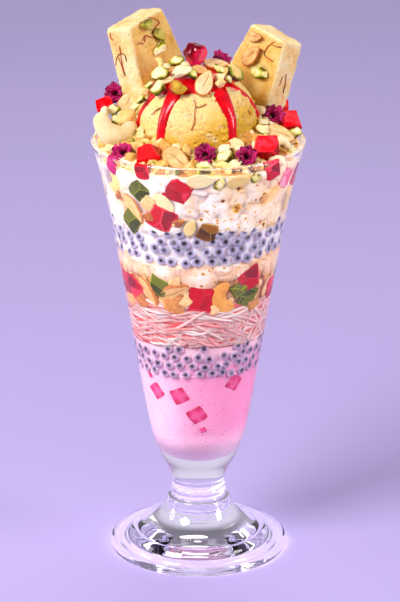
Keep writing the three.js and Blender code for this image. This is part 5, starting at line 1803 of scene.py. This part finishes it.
def crumbs(name, places, lengths, finish, rng):
    """Small chopped bits lying every way at the given places, each with its own size and tint."""
    count = len(places)
    build = np.array([1, 0.8, 0.62]) * rng.uniform(0.85, 1.15, (count, 3)) * np.reshape(lengths, (-1, 1))
    marks = {"look": rng.random((count, 3)), "tumble": rng.uniform(0, 2 * math.pi, (count, 3))}
    base = mesh_of(name, (places, []), {**marks, "build": build / 2 * MM})
    plan = Grown(name + "_plan", {"Unevenness": 0.5 * float(np.mean(lengths)) * MM})
    sockets = {"Size": (1.7, 1.7, 1.7), "Vertices X": 3, "Vertices Y": 3, "Vertices Z": 3}
    bit = plan.add("GeometryNodeMeshCube", sockets).outputs[0]
    turned = plan.add("FunctionNodeEulerToRotation",
                      {"Euler": plan.named("tumble", "FLOAT_VECTOR")}).outputs[0]
    sockets = {"Points": plan.given["Geometry"], "Instance": bit, "Rotation": turned}
    sockets["Scale"] = plan.named("build", "FLOAT_VECTOR")
    bits = plan.add("GeometryNodeInstanceOnPoints", sockets).outputs[0]
    bits = plan.add("GeometryNodeRealizeInstances", {"Geometry": bits}).outputs[0]
    cloud = plan.add("ShaderNodeTexNoise", {"Scale": 1000 / (0.5 * float(np.mean(lengths))), "Detail": 0.0})
    shift = plan.add("ShaderNodeVectorMath", {0: cloud.outputs["Color"], 1: (0.5, 0.5, 0.5)},
                     operation="SUBTRACT")
    sockets = {0: shift.outputs[0], "Scale": plan.times(plan.given["Unevenness"], 2.0)}
    shift = plan.add("ShaderNodeVectorMath", sockets, operation="SCALE").outputs[0]
    moved = plan.add("GeometryNodeSetPosition", {"Geometry": bits, "Offset": shift}).outputs[0]
    return plan.run(base, moved, finish, smooth=False)


def free_places(count, lengths, room, rng):
    """Places on the heap for bits of the given lengths that are clear of the ball, slabs and toppings."""
    places = []
    while len(places) < count:
        length = lengths[len(places)]
        angle, share = rng.uniform(0, 2 * math.pi), rng.uniform(0.05, 0.92)
        place = around(heap_radius(share), angle, heap_top(share, angle) + 0.1 * length)
        clear = all(math.dist(place, other[:3]) > room * (other[3] + length) for other in taken)
        for slab, (_, width, _, _, _) in SLABS.items():
            x, y, z = np.linalg.inv(slab_frame(slab))[:3] @ [*place, 1]
            clear = clear and (abs(x) > width / 2 - SLAB_TAPER * z or abs(y) > SLAB_THICK / 2)
        if clear and math.dist(place, BALL_CENTRE) > BALL_RADIUS:
            places.append(place)
    return np.array(places)


def cashew_bit(length, rng):
    """A rounded end of a broken cashew, with one flat break."""
    points, faces, place = block(length * np.array([1, 0.8, 0.7]), 0.32 * length, (3, 3, 3))
    points, _ = chopped(points, 1, rng, (0.5, 0.8))
    points = worn(points, length, rng, (0.6, 0.12))
    return points, faces, place, np.full((len(points), 3), [0, 0, rng.random()])


bit_rng = np.random.default_rng(19)
loose = {kind: [] for kind in ("chunk", "cashew", "pistachio", "pale", "almond")}
chopped_flesh = [(0.2, 206, 140, 52), (0.45, 244, 196, 108), (0.8, 255, 232, 176)]
chopped_nut = nut_finish("chopped_nut", chopped_flesh, 2.5)
loose_kinds = {**UPPER_KINDS, "chunk": (chunk, chopped_nut, "nut_heap")}
loose_kinds["pale"] = (cashew_bit, cashew_nut, "nut_heap")
for kind, length, *lie in BITS:
    points, faces, own, look = loose_kinds[kind][0](length, bit_rng)
    loose[kind].append((placed(points, laid(*lie)), faces, own, look))
    taken.append((*laid(*lie)[:3, 3], length))
for kind, count in RING_BITS.items():
    lengths = bit_rng.uniform(4, 7.4, count) * (1.2 if kind == "cashew" else 1)
    for place, length in zip(free_places(count, lengths, 0.36, bit_rng), lengths):
        points, faces, own, look = loose_kinds[kind][0](length, bit_rng)
        turn = Euler(bit_rng.uniform((-0.9, -0.9, 0), (0.9, 0.9, 6.28))).to_matrix()
        loose[kind].append((points @ np.array(turn).T + place, faces, own, look))
        taken.append((*place, length))
for kind, bodies in loose.items():
    _, finish, slot = loose_kinds[kind]
    show(f"loose_{kind}", gathered(f"loose_{kind}", bodies), finish, slot, "nut_heap")
greens = [(0.15, 96, 110, 6), (0.45, 170, 176, 26), (0.8, 234, 226, 110)]
green_nut = nut_finish("green_nut", greens, 2.5)
for kind, finish, slot in (("nut", chopped_nut, "nut_heap"), ("green", green_nut, "pistachio")):
    lengths = bit_rng.uniform(*CRUMB_LENGTHS, CRUMBS[kind])
    places = free_places(CRUMBS[kind], lengths, 0.3, bit_rng)
    name = f"heap_{kind}_crumbs"
    show(name, crumbs(name, places, lengths, finish, bit_rng), finish, slot, "nut_heap")
